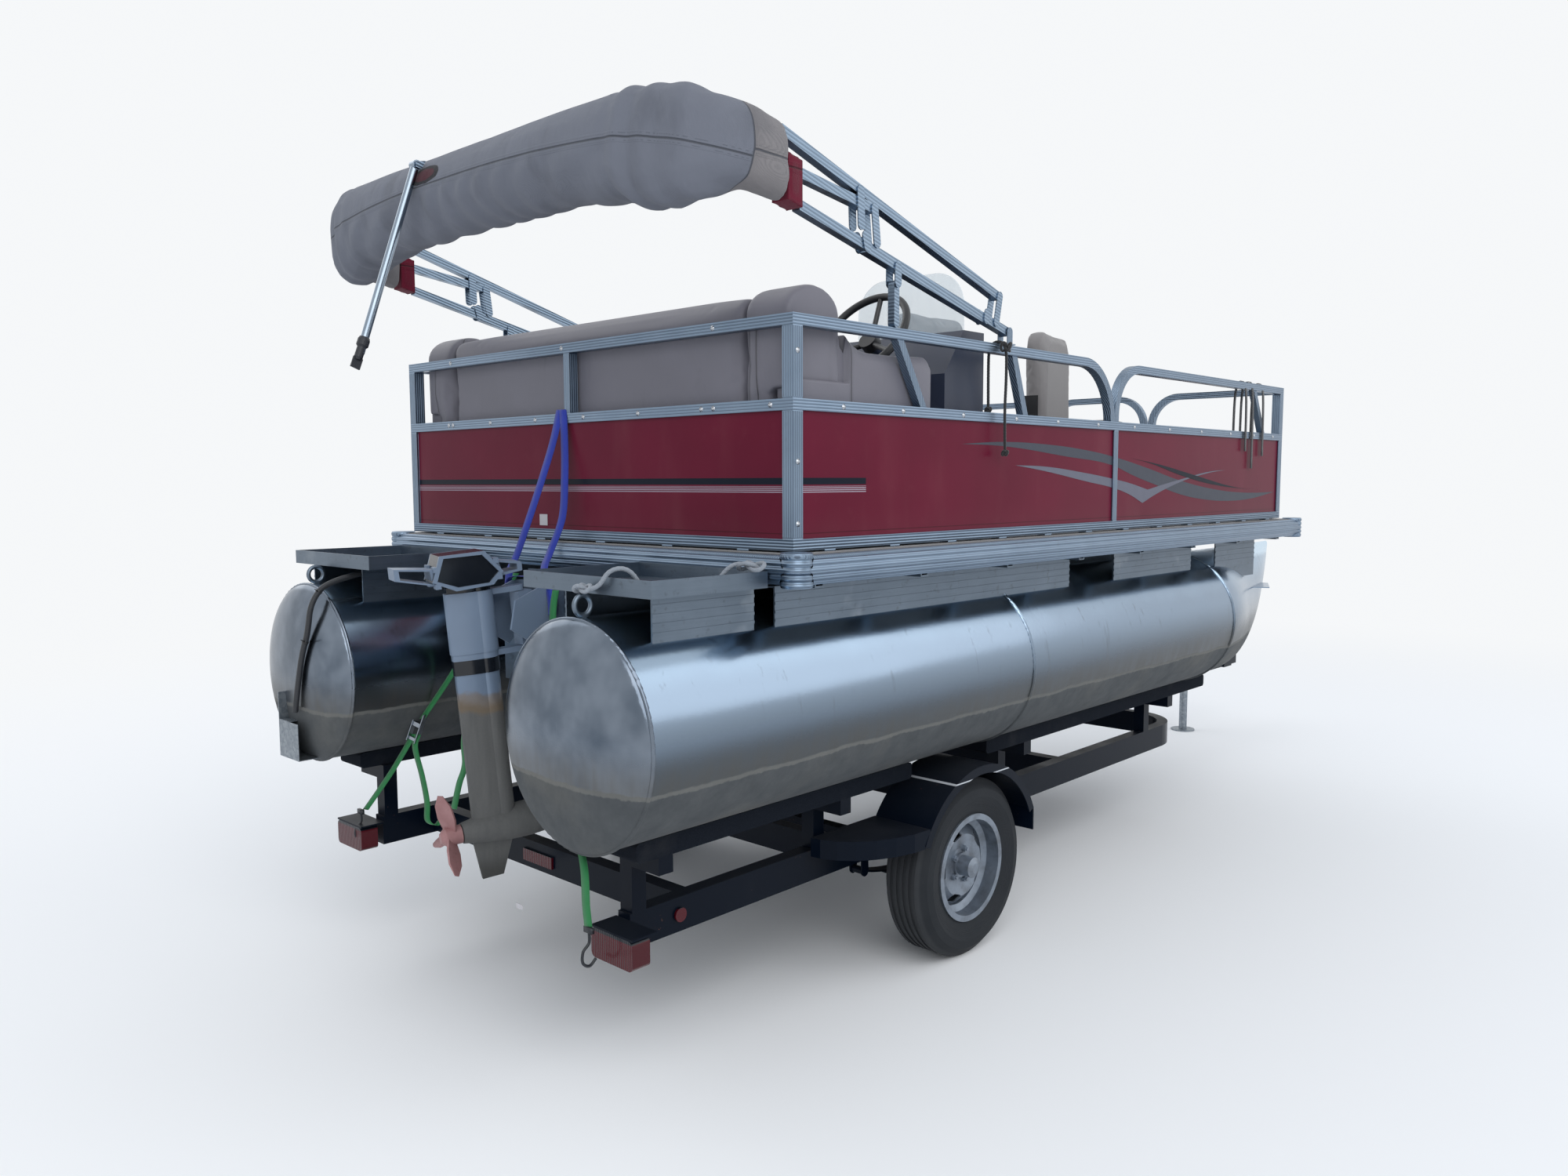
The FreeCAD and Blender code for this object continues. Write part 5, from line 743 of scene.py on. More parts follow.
def knotted(name, centre, size, thick, finish):
    """A lump of rope in an overhand knot of that size."""
    loop = []
    for step in range(72):
        t = 2 * math.pi * step / 72
        bight = (math.sin(t) + 2 * math.sin(2 * t), math.cos(t) - 2 * math.cos(2 * t), -1.6 * math.sin(3 * t))
        reach = [part * span / 6.2 for part, span in zip(bight, size)]
        loop.append(Vector(centre) + Vector(reach))
    shape = bmesh.new()
    swept(shape, paced(loop + loop[:1], thick * 0.35), laid_rope(thick), 12)
    return piece_from(name, shape, finish)


CLOTH_STEPS = 14
SLACK = 0.004


def stuffed(piece, voxel, pressure, cap, floor=None):
    """Swells a closed shape into padding by a short cloth run, and keeps it above a floor."""
    modifier = piece.modifiers.new("voxels", "REMESH")
    modifier.mode = "VOXEL"
    modifier.voxel_size = voxel
    shrunk = piece.modifiers.new("slack", "DISPLACE")
    shrunk.strength = -SLACK
    shrunk.mid_level = 0.0
    eased_out = piece.modifiers.new("eased", "SMOOTH")
    eased_out.factor = 0.5
    eased_out.iterations = 2
    apply_all(piece)
    rest = [vert.co.copy() for vert in piece.data.vertices]
    cloth = piece.modifiers.new("cloth", "CLOTH")
    cloth.settings.use_pressure = True
    cloth.settings.uniform_pressure_force = pressure
    cloth.settings.effector_weights.gravity = 0
    cloth.settings.quality = 3
    cloth.settings.tension_stiffness = 25
    cloth.settings.compression_stiffness = 25
    cloth.settings.bending_stiffness = 4
    cloth.collision_settings.use_collision = False
    cloth.point_cache.frame_start = 1
    cloth.point_cache.frame_end = CLOTH_STEPS
    scene = bpy.context.scene
    for number in range(1, CLOTH_STEPS + 1):
        scene.frame_set(number)
    depsgraph = bpy.context.evaluated_depsgraph_get()
    swollen = [vert.co.copy() for vert in piece.evaluated_get(depsgraph).data.vertices]
    piece.modifiers.remove(cloth)
    scene.frame_set(1)
    for vert, home, away in zip(piece.data.vertices, rest, swollen):
        step = away - home
        if step.length > cap:
            step = step.normalized() * cap
        vert.co = home + step
        if floor is not None:
            vert.co.z = max(vert.co.z, floor + 0.001)
    smooth = piece.modifiers.new("finer", "SUBSURF")
    smooth.levels = 1
    smooth.render_levels = 1
    apply_all(piece)
    for face in piece.data.polygons:
        face.use_smooth = True
    return piece


def softened(name, node, finish, voxel, pressure, cap, rests=True):
    """Padding grown from a node's closed shape, which it replaces."""
    source = frame["nodes"][node]
    shape = bmesh.new()
    shape.from_mesh(source.data)
    bmesh.ops.remove_doubles(shape, verts=shape.verts, dist=1e-5)
    piece = piece_from(name, shape, finish, body=source["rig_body"])
    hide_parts(node)
    return stuffed(piece, voxel, pressure, cap, floor=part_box(node)[0][2] if rests else None)


def upholstered(shape, outline, y0, y1, edge):
    """Adds a block with an outline in X and Z between two places across the boat, its rims rounded."""
    face = shape.faces.new([shape.verts.new((x, y0, z)) for x, z in outline])
    grown = bmesh.ops.extrude_face_region(shape, geom=[face])["geom"]
    far = [part for part in grown if isinstance(part, bmesh.types.BMVert)]
    bmesh.ops.translate(shape, vec=(0, y1 - y0, 0), verts=far)
    both = list(face.verts) + far
    bmesh.ops.recalc_face_normals(shape, faces=list({wall for vert in both for wall in vert.link_faces}))
    edges = {part for vert in both for part in vert.link_edges}
    rims = [part for part in edges if abs(part.verts[0].co.y - part.verts[1].co.y) < 1e-6]
    bmesh.ops.bevel(shape, geom=rims, offset=edge, segments=4, profile=0.5, affect="EDGES", material=-1)


def apply_all(piece):
    """Bakes a piece's modifiers into its mesh."""
    depsgraph = bpy.context.evaluated_depsgraph_get()
    baked = bpy.data.meshes.new_from_object(piece.evaluated_get(depsgraph))
    piece.modifiers.clear()
    old = piece.data
    piece.data = baked
    bpy.data.meshes.remove(old)


def paint(name, note, colour):
    """A colour property."""
    return bpy.props.FloatVectorProperty(
        name=name, description=note, subtype="COLOR", default=colour, min=0, max=1)


class BoatColours(bpy.types.PropertyGroup):
    """Main colours of the boat."""

    panel: paint("Side Panels", "Burgundy of the fence panels", (0.118, 0.006, 0.024))
    black: paint("Black Stripe", "Pinstripe on the panels", (0.004, 0.007, 0.016))
    silver: paint("Silver Lines", "Fine lines under the pinstripe", (0.30, 0.25, 0.30))
    swoosh: paint("Grey Swoosh", "Broad swoosh on the side panels", (0.060, 0.066, 0.085))
    bright_swoosh: paint("Silver Swoosh", "Pointed swoosh on the side panels", (0.135, 0.140, 0.180))
    bench: paint("Bench Vinyl", "Bench and arms", (0.150, 0.146, 0.172))
    chair: paint("Chair Vinyl", "Swivel chairs", (0.215, 0.205, 0.205))
    canopy: paint("Canopy Boot", "Canvas boot round the folded canopy", (0.158, 0.170, 0.205))
    cuff: paint("Canopy Cloth", "Burgundy canopy cloth at the boot's ends", (0.120, 0.004, 0.020))


class BoatStage(bpy.types.PropertyGroup):
    """Floor, lamps and camera."""

    floor: paint("Floor", "Studio floor", (0.90, 0.905, 0.91))
    backdrop: paint("Backdrop", "What shows behind the boat", (0.92, 0.935, 0.95))
    sky: bpy.props.FloatProperty(
        name="Sky", description="Strength of the even light from all round", default=0.80, min=0)
    key: bpy.props.FloatProperty(
        name="Key Lamp", description="Power of the large soft lamp", default=600.0, min=0, unit="POWER")
    fill: bpy.props.FloatProperty(
        name="Fill Lamp", description="Power of the two softer lamps", default=250.0, min=0, unit="POWER")
    lens: bpy.props.FloatProperty(
        name="Lens", description="Camera focal length", default=26.36, min=1, unit="CAMERA")


CONDUIT_ROUTE = (
    (-2.854, 0.640, 1.3635), (-3.0557, 0.605, 1.345), (-3.126, 0.600, 1.2747), (-3.127, 0.628, 1.165),
    (-3.1365, 0.672, 1.073), (-3.1365, 0.728, 0.888))
MOORING_ROUTE = (
    (-3.034, -0.752, 1.3912), (-3.024, -0.802, 1.394), (-3.006, -0.824, 1.446), (-2.969, -0.862, 1.450),
    (-2.939, -0.880, 1.3901), (-2.864, -0.905, 1.3901), (-2.784, -0.880, 1.3901), (-2.714, -0.905, 1.3901),
    (-2.674, -0.925, 1.446), (-2.629, -0.950, 1.446), (-2.604, -0.962, 1.4335))
RAIL_ROUTE = (
    (-1.490, -0.964, 1.912), (-1.496, -0.966, 2.020), (-1.494, -0.966, 2.1272), (-1.494, -1.034, 2.1272),
    (-1.491, -1.034, 2.007), (-1.497, -1.032, 1.886), (-1.493, -1.034, 1.766))


def led(name, points, section, sides, finish):
    """A cord's piece, swept along its line."""
    tube = bmesh.new()
    swept(tube, points, section, sides)
    return piece_from(name, tube, finish)


class BOAT_OT_cords(bpy.types.Operator):
    """Lead the conduit and the ropes"""

    bl_idname = "boat.cords"
    bl_label = "Cords"

    def execute(self, context):
        ribbed = moulded("conduit_plastic", (0.016, 0.018, 0.022), 0.5)
        grey = rope_fibre("grey_rope_yarn", (0.26, 0.29, 0.33))
        dark = rope_fibre("black_rope_yarn", (0.012, 0.013, 0.015))

        line = paced(centreline("conduit_line", CONDUIT_ROUTE), 0.0011)
        conduit = led("sensor_conduit", line, corrugated(0.020, 0.0048), 20, ribbed)
        bands = bmesh.new()
        for start in (0.36, 0.62):
            first = round(len(line) * start)
            swept(bands, line[first:first + 6], lambda place, angle: 0.0109, 20)
            tail = bmesh.ops.create_cone(
                bands, cap_ends=True, segments=8, radius1=0.0022, radius2=0.0014, depth=0.030)["verts"]
            place = facing(line[first] + Vector((-0.014, -0.012, 0.004)), (-1, -0.8, 0.5))
            bmesh.ops.transform(bands, matrix=place, verts=tail)
        tie = moulded("tie_plastic", (0.008, 0.008, 0.009), 0.4)
        ties = piece_from("conduit_ties", bands, tie)

        line = paced(centreline("mooring_line", MOORING_ROUTE), 0.0022)
        mooring = led("mooring_line", line, laid_rope(0.012), 18, grey)
        near, far = Vector(MOORING_ROUTE[0]), Vector(MOORING_ROUTE[-1])
        hitch = knotted("mooring_hitch", near + Vector((0.002, 0, 0.004)), (0.048, 0.052, 0.030), 0.011,
                        grey)
        lump = knotted("mooring_knot", far + Vector((-0.022, 0.002, 0.006)), (0.074, 0.086, 0.034), 0.012,
                       grey)

        line = paced(centreline("rail_line", RAIL_ROUTE), 0.0022)
        rail = led("rail_line", line, laid_rope(0.010), 18, dark)
        bend = knotted("rail_knot", (-1.490, -1.032, 2.108), (0.052, 0.030, 0.050), 0.0095,
                       dark)
        for name, place in (("rail_stopper", RAIL_ROUTE[-1]), ("rail_crown", RAIL_ROUTE[0])):
            centre = Vector(place) + Vector((0, 0, -0.008))
            knotted(name, centre, (0.022, 0.022, 0.028), 0.008, dark)
        return {"FINISHED"}


class BOAT_OT_metalwork(bpy.types.Operator):
    """Finish the floats, frames, rails and trailer"""

    bl_idname = "boat.metalwork"
    bl_label = "Metalwork"

    def execute(self, context):
        dress(bright_aluminium(), "pontoons")
        dress(mill_aluminium(), "risers", "stern_trays", "deck_channels", "motor_pod", "chair_pedestals")
        dress(extrusion(), "rub_rail", "fence_stern", "fence_starboard", "fence_port", "fence_bow",
              "gate_frame", "bimini_mounts")
        dress(tube_metal(), "bimini_bows", "bimini_leg_starboard", "bimini_leg_port")
        dress(polished_tube(), "bimini_strut")
        dress(red_panel(), "fence_panels", "gate_panel")
        dress(trailer_paint("trailer_paint"), "trailer_frame", "cross_members", "axle", "coupler",
              "winch_stand")
        dress(trailer_paint("fender_paint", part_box("fenders")[1][2] - 0.040), "fenders")
        dress(bunk_carpet(), "bunks")
        dress(tyre_rubber(), "tyre_starboard", "tyre_port")
        dress(wheel_silver(), "wheel_starboard", "wheel_port")
        dress(lens("red_lens", (0.110, 0.004, 0.012)), "tail_lamps")
        dress(galvanised(), "jack_tube", "jack_leg")
        dress(moulded("black_rubber", (0.012, 0.012, 0.013), 0.75), "bow_stop")
        return {"FINISHED"}


class BOAT_OT_fittings(bpy.types.Operator):
    """Finish the deck, console, chairs and outboard"""

    bl_idname = "boat.fittings"
    bl_label = "Fittings"

    def execute(self, context):
        dress(deck_carpet(), "deck")
        dress(moulded("seat_plastic", (0.15, 0.15, 0.165), 0.5), "bench_base")
        dress(moulded("black_plastic", (0.010, 0.011, 0.013), 0.42), "steering_wheel",
              "chair_aft_frame", "chair_fore_frame")
        dress(moulded("navy_plastic", (0.016, 0.024, 0.050), 0.38), "console")
        dress(clear_screen(), "windscreen")
        dress(moulded("motor_grey", (0.145, 0.195, 0.270), 0.38, 0.2), "outboard_clamp", "outboard_swivel",
              "outboard_frame", "outboard_collar")
        dress(moulded("motor_black", (0.006, 0.008, 0.012), 0.16, 0.1), "outboard_head", "outboard_band")
        dress(motor_paint(), "outboard_drive")
        dress(worn_copper(), "propeller")
        return {"FINISHED"}


BACK_X = (-2.468, -2.270)
BACK_FOOT, BACK_TOP = 1.802, 2.196
CORNER_X = (-2.474, -2.244)
CORNER_SIDE, CORNER_TOP = 2.135, 2.222
CORNER_INNER, CORNER_OUTER = 0.772, 0.958


def arc(middle, reach, start, end, steps):
    """Points of an arc in X and Z, from one angle to another."""
    points = []
    for step in range(steps + 1):
        angle = start + (end - start) * step / steps
        points.append((middle[0] + reach[0] * math.cos(angle), middle[1] + reach[1] * math.sin(angle)))
    return points


def roll_outline(x0, x1, low, top, soft):
    """The section of the seat back: straight sides and a rounded top roll."""
    quarter = math.pi / 2
    rear = arc((x0 + soft, top - soft), (soft, soft), math.pi, quarter, 6)
    fore = arc((x1 - soft, top - soft), (soft, soft), quarter, 0, 6)
    return [(x1, low), (x0, low)] + rear + fore


def dome_outline(x0, x1, low, side, top):
    """The section of a corner pad: straight sides under a half-round dome."""
    dome = arc(((x0 + x1) / 2, side), ((x1 - x0) / 2, top - side), math.pi, 0, 16)
    return [(x1, low), (x0, low)] + dome


ARM_BEND_Z, ARM_TOP_Z = 1.95, 2.20


def tucked(piece):
    """Draws the rear tops of the arms in under the corner pads."""
    for vert in piece.data.vertices:
        x, y, z = vert.co
        if x < CORNER_X[1] + 0.012 and z > ARM_BEND_Z:
            along = min(1.0, abs(x - sum(CORNER_X) / 2) / 0.105)
            roof = CORNER_SIDE - 0.035 + (CORNER_TOP - CORNER_SIDE) * math.sqrt(1 - along * along)
            vert.co.z = ARM_BEND_Z + (z - ARM_BEND_Z) * (roof - ARM_BEND_Z) / (ARM_TOP_Z - ARM_BEND_Z)
            vert.co.y = math.copysign(min(abs(y), CORNER_OUTER - 0.006), y)


class BOAT_OT_cushions(bpy.types.Operator):
    """Build the bench, arms and chair cushions"""

    bl_idname = "boat.cushions"
    bl_label = "Cushions"

    def execute(self, context):
        colours = context.scene.boat_colours
        grey = tuple(colours.bench)
        tan = tuple(colours.chair)
        back = vinyl("bench_back_vinyl", grey, (plane_seam("z", 2.106),))
        roll = bmesh.new()
        half = CORNER_INNER - 0.004
        upholstered(roll, roll_outline(*BACK_X, BACK_FOOT, BACK_TOP, 0.055), -half, half, 0.018)
        pads = piece_from("bench_back_roll", roll, back)
        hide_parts("bench_backs")
        stuffed(pads, 0.010, 1.2, 0.008, floor=BACK_FOOT - 0.001)

        domes = bmesh.new()
        dome = dome_outline(*CORNER_X, BACK_FOOT + 0.12, CORNER_SIDE, CORNER_TOP)
        x0, x1, z0, z1 = CORNER_X[0] + 0.004, BACK_X[1], BACK_FOOT, BACK_FOOT + 0.2
        foot = [(x1, z0), (x1, z1), (x0, z1), (x0, z0)]
        for side in (-1, 1):
            for outline, outer, edge in ((dome, CORNER_OUTER, 0.024), (foot, 0.880, 0.012)):
                ends = sorted((side * CORNER_INNER, side * outer))
                upholstered(domes, outline, ends[0], ends[1], edge)
        seams = [dome_seam(-1), dome_seam(1)] + [upright_seam(y, 2.12) for y in (-0.801, -0.835, 0.880)]
        pads = piece_from("corner_pads", domes, vinyl("corner_vinyl", grey, seams))
        stuffed(pads, 0.010, 1.2, 0.008, floor=BACK_FOOT - 0.001)

        seat = vinyl("bench_seat_vinyl", grey)
        softened("bench_seat_pads", "bench_cushions", seat, 0.010, 3.5, 0.016)
        arm = vinyl("arm_vinyl", grey, (plane_seam("x", -2.222),))
        tucked(softened("arm_pads", "side_arms", arm, 0.011, 2.5, 0.012))
        for place in ("aft", "fore"):
            pad = vinyl(f"chair_{place}_vinyl", tan)
            softened(f"chair_{place}_pads", f"chair_{place}_cushions", pad, 0.009, 3.0, 0.014)
        return {"FINISHED"}


def part_way(value, start, end):
    """How far a value is from start to end, held between 0 and 1."""
    return max(0.0, min(1.0, (value - start) / (end - start)))


def creased(piece):
    """Pulls the boot's canvas into upright folds over its bulged ends and slanting tucks under its seam."""
    turn = 2 * math.pi
    away = [vert.normal.copy() for vert in piece.data.vertices]
    for vert, normal in zip(piece.data.vertices, away):
        x, y, z = vert.co
        half = abs(y)
        wander = noise.noise(Vector((x * 3, y * 2, z * 4)))
        ends = part_way(half, 0.66, 0.78) * part_way(x, -2.68, -2.74)
        depth = 0.45 + 0.55 * noise.noise(Vector((y * 6, z * 5, 4.0)))
        upright = math.sin(turn * (half / 0.092 + wander * 0.9)) * depth
        arch = BOOT_SEAM_Z - 0.050 * y * y
        under = part_way(z, arch, arch - 0.03)
        slant = math.sin(turn * (y / 0.13 + (z - arch) / 0.16 + wander * 1.3))
        slack = noise.noise(Vector((x * 9, y * 5, z * 9))) * 0.5
        slack += noise.noise(Vector((x * 22, y * 13, z * 22))) * 0.22
        step = ends * upright * 0.0095 + under * (1 - ends) * slant * 0.0042 + slack * 0.0045 * (0.5 + under)
        hang = max(0.0, 1 - ((half - 0.86) / 0.15) ** 2) * part_way(x, -2.66, -2.76)
        vert.co += normal * step - Z * (0.036 * hang * under) + Z * (0.012 * hang * (1 - under))


class BOAT_OT_canopy_boot(bpy.types.Operator):
    """Build the canvas boot round the folded canopy, and its cuffs"""

    bl_idname = "boat.canopy_boot"
    bl_label = "Canopy Boot"

    def execute(self, context):
        colours = context.scene.boat_colours
        cloth = canvas("boot_canvas", tuple(colours.canopy), boot_seam, (0.085, 0.066, 0.046))
        creased(softened("boot_cloth", "bimini_boot", cloth, 0.012, 1.5, 0.010, rests=False))
        red = canvas("cuff_canvas", tuple(colours.cuff), plane_seam("z", 2.487))
        softened("cuff_cloth", "bimini_cuffs", red, 0.006, 1.0, 0.006, rests=False)
        return {"FINISHED"}


GREY_SWOOSH = (
    (-1.698, 1.785), (-1.455, 1.797), (-1.179, 1.795), (-0.873, 1.779), (-0.654, 1.757), (-0.341, 1.712),
    (-0.079, 1.669), (0.297, 1.626), (0.664, 1.606), (1.041, 1.606), (0.744, 1.577), (0.492, 1.570),
    (0.209, 1.580), (-0.033, 1.604), (-0.299, 1.650), (-0.490, 1.686), (-0.670, 1.725), (-1.029, 1.754),
    (-1.455, 1.783))
SILVER_SWOOSH = (
    (-1.373, 1.719), (-1.177, 1.716), (-0.869, 1.693), (-0.667, 1.673), (-0.525, 1.656), (-0.356, 1.628),
    (-0.220, 1.647), (0.026, 1.678), (0.155, 1.694), (0.291, 1.706), (0.432, 1.711), (0.291, 1.702),
    (0.155, 1.687), (0.026, 1.670), (-0.139, 1.640), (-0.296, 1.604), (-0.400, 1.574), (-0.522, 1.611),
    (-0.665, 1.638), (-0.867, 1.662), (-1.176, 1.700))
DARK_LINE = (
    (-0.512, 1.754), (-0.245, 1.730), (0.068, 1.691), (0.536, 1.634), (0.874, 1.615), (0.295, 1.646),
    (-0.039, 1.686), (-0.343, 1.736))


class BOAT_OT_stripes(bpy.types.Operator):
    """Lay the swooshes on the side panels"""

    bl_idname = "boat.stripes"
    bl_label = "Side Stripes"

    def execute(self, context):
        colours = context.scene.boat_colours
        low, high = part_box("fence_panels")
        films = (("grey_swoosh", GREY_SWOOSH, (0, 9), tuple(colours.swoosh), 0.0004),
                 ("silver_swoosh", SILVER_SWOOSH, (0, 5, 10, 16), tuple(colours.bright_swoosh), 0.0007),
                 ("dark_line", DARK_LINE, (0, 4), tuple(colours.black), 0.0010))
        for name, outline, sharp, colour, lift in films:
            finish = paint_line(name, colour)
            for side, wall in ((-1, low[1]), (1, high[1])):
                curve = bpy.data.curves.new(name, "CURVE")
                curve.dimensions = "2D"
                curve.fill_mode = "BOTH"
                curve.extrude = 0.0001
                curve.resolution_u = 8
                line = curve.splines.new("BEZIER")
                line.bezier_points.add(len(outline) - 1)
                for index, (point, place) in enumerate(zip(line.bezier_points, outline)):
                    point.co = (*place, 0)
                    point.handle_left_type = "VECTOR" if index in sharp else "AUTO"
                    point.handle_right_type = point.handle_left_type
                line.use_cyclic_u = True
                flat = bpy.data.objects.new(name + "_curve", curve)
                context.scene.collection.objects.link(flat)
                depsgraph = context.evaluated_depsgraph_get()
                mesh = bpy.data.meshes.new_from_object(flat.evaluated_get(depsgraph))
                bpy.data.objects.remove(flat)
                shape = bmesh.new()
                shape.from_mesh(mesh)
                bpy.data.meshes.remove(mesh)
                upright = Matrix.Rotation(math.pi / 2, 4, "X")
                upright.translation = (0, wall + side * lift, 0)
                bmesh.ops.transform(shape, matrix=upright, verts=shape.verts)
                bmesh.ops.recalc_face_normals(shape, faces=shape.faces)
                hand = "port" if side > 0 else "starboard"
                piece_from(f"{name}_{hand}", shape, finish, False)
        return {"FINISHED"}


SCREW_HEAD = (
    (0.0, 0.0042), (0.003, 0.0038), (0.0052, 0.0022), (0.0058, 0.0008), (0.0082, 0.0006),
    (0.0082, -0.0004), (0.0, -0.0004))
STERN_SCREWS_Y = (-0.923, -0.696, -0.645, -0.359, -0.084, 0.182, 0.455, 0.702, 0.731)
TOP_SCREWS_Y = (-0.695, 0.026, 0.708)
SIDE_SCREWS_X = (-2.30, -2.02, -1.70, -1.38, -1.10, -0.80, -0.50, -0.18, 0.14, 0.46, 0.74, 0.98)


class BOAT_OT_fasteners(bpy.types.Operator):
    """Set the screws along the rails"""

    bl_idname = "boat.fasteners"
    bl_label = "Fasteners"

    def execute(self, context):
        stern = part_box("fence_stern")[0][0]
        places = [facing((stern, y, 1.876), -X) for y in STERN_SCREWS_Y]
        places += [facing((stern, y, 2.104), -X) for y in TOP_SCREWS_Y]
        for side, wall in ((-1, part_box("fence_starboard")[0][1]), (1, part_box("fence_port")[1][1])):
            places += [facing((x, wall, 1.876), (0, side, 0)) for x in SIDE_SCREWS_X]
            places += [facing((-2.494, wall, z), (0, side, 0)) for z in (1.55, 1.72, 2.02)]
        finish = moulded("screw_steel", (0.42, 0.44, 0.47), 0.25, 0.1)
        finish.set({"Metallic": 1.0})
        piece_from("rail_screws", stamped(turned(SCREW_HEAD, 10), places), finish)
        return {"FINISHED"}


HOUSING_PLATES = (
    ((-3.148, 0.690, 0.722), (-3.145, 0.835, 0.850)),
    ((-3.148, 0.832, 0.722), (-3.066, 0.835, 0.945)),
    ((-3.148, 0.690, 0.722), (-3.066, 0.835, 0.725)),
    ((-3.146, 0.760, 0.848), (-3.090, 0.835, 0.851)),
)
STRUT_FOOT = (
    (0.0, -0.030), (0.010, -0.030), (0.013, -0.022), (0.013, 0.010), (0.018, 0.016), (0.018, 0.034),
    (0.015, 0.042), (0.0, 0.042))


def rippled_bead(place, angle):
    """The section of a weld bead, one ripple each 21 mm."""
    return 0.0030 + 0.0007 * math.sin(place * 2 * math.pi / 0.021)


class BOAT_OT_plates(bpy.types.Operator):
    """Add the weld beads, the sensor's housing, the blank plates and the strut's foot"""

    bl_idname = "boat.plates"
    bl_label = "Beads and Plates"

    def execute(self, context):
        beads = bmesh.new()
        for side in (-1, 1):
            middle = Vector((0, side * FLOAT_Y, FLOAT_Z))
            for x in (CAP_X, SEAM_X):
                ring = []
                for step in range(97):
                    angle = 2 * math.pi * step / 96
                    ring.append(middle + X * x + (Y * math.cos(angle) + Z * math.sin(angle)) * FLOAT_RADIUS)
                swept(beads, ring, rippled_bead, 6)
        piece_from("weld_beads", beads, mill_aluminium())

        plates = bmesh.new()
        for low, high in HOUSING_PLATES:
            slab(plates, low, high, 0.0008)
        piece_from("sensor_housing", plates, galvanised(), False)

        blank = moulded("plate_white", (0.46, 0.45, 0.47), 0.4, 0.15)
        cards = bmesh.new()
        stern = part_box("fence_panels")[0][0]
        slab(cards, (stern - 0.0012, 0.134, 1.519), (stern + 0.001, 0.178, 1.557), 0.0005)
        slab(cards, (-2.9555, -0.330, 0.412), (-2.9535, -0.296, 0.428), 0.0004)
        piece_from("blank_plates", cards, blank, False)

        low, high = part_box("bimini_strut")
        foot = turned(STRUT_FOOT, 20)
        eye = bmesh.ops.create_cube(foot, size=1.0)["verts"]
        bmesh.ops.scale(foot, vec=(0.006, 0.030, 0.034), verts=eye)
        bmesh.ops.translate(foot, vec=(0, 0, -0.040), verts=eye)
        lean = Vector((high[0] - low[0], 0, high[2] - low[2])).normalized()
        place = Vector((low[0] + 0.013, (low[1] + high[1]) / 2, low[2] + 0.012))
        bmesh.ops.transform(foot, matrix=facing(place, lean), verts=foot.verts)
        rubber = moulded("strut_rubber", (0.008, 0.010, 0.016), 0.5)
        body = frame["nodes"]["bimini_strut"]["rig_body"]
        piece_from("strut_foot", foot, rubber, False, body)
        return {"FINISHED"}


BLUE_STRAPS = (
    ((-2.518, 0.035, 1.905), (-2.548, 0.035, 1.80), (-2.60, 0.038, 1.66), (-2.638, 0.068, 1.520),
     (-2.655, 0.100, 1.430), (-2.672, 0.120, 1.375), (-2.677, 0.124, 1.310)),
    ((-2.518, 0.018, 1.905), (-2.528, 0.0, 1.80), (-2.545, -0.02, 1.68), (-2.566, -0.031, 1.551),
     (-2.605, -0.015, 1.440), (-2.650, -0.045, 1.395), (-2.674, -0.088, 1.362), (-2.677, -0.113, 1.300),
     (-2.677, -0.118, 1.245)),
)
CLAMP_STRAP = (
    (-2.677, 0.126, 1.235), (-2.677, 0.122, 1.300), (-2.677, 0.100, 1.357), (-2.677, -0.088, 1.357),
    (-2.677, -0.113, 1.330))
GREEN_STRAPS = (
    ((-2.612, 0.172, 1.360), (-2.680, 0.290, 1.170), (-2.745, 0.395, 0.990), (-2.800, 0.487, 0.845)),
    ((-2.818, 0.514, 0.790), (-2.860, 0.600, 0.650), (-2.915, 0.695, 0.505)),
    ((-2.812, 0.497, 0.790), (-2.822, 0.502, 0.744), (-2.800, 0.500, 0.640), (-2.786, 0.497, 0.546),
     (-2.790, 0.490, 0.480), (-2.770, 0.470, 0.462), (-2.752, 0.462, 0.478)),
    ((-2.690, 0.178, 1.300), (-2.760, 0.186, 1.050), (-2.814, 0.191, 0.838), (-2.814, 0.195, 0.735),
     (-2.814, 0.235, 0.661), (-2.814, 0.273, 0.568)),
    ((-2.700, -0.172, 1.330), (-2.705, -0.160, 1.233), (-2.760, -0.240, 0.980), (-2.860, -0.430, 0.800),
     (-2.960, -0.610, 0.700), (-3.008, -0.700, 0.640), (-3.004, -0.700, 0.540), (-2.998, -0.700, 0.475)),
)
BOW_STRAPS = ((0.62, -0.985, 0.22), (0.70, -0.985, 0.30), (0.83, -0.985, 0.24))
RATCHET_BARS = (
    ((0.030, 0.004, 0.110), (0, 0.016, 0)),
    ((0.030, 0.004, 0.110), (0, -0.016, 0)),
    ((0.012, 0.036, 0.012), (0, 0, 0.045)),
    ((0.016, 0.032, 0.016), (0, 0, -0.010)),
    ((0.010, 0.036, 0.030), (-0.014, 0, -0.050)),
)
HOOKS = ((-2.930, 0.700, 0.445), (-2.996, -0.700, 0.410))
HOOK_BEND = (
    (0, 0, 0.055), (0, 0, 0.020), (-0.020, 0, 0), (-0.022, 0, -0.030), (0, 0, -0.045), (0.022, 0, -0.030))


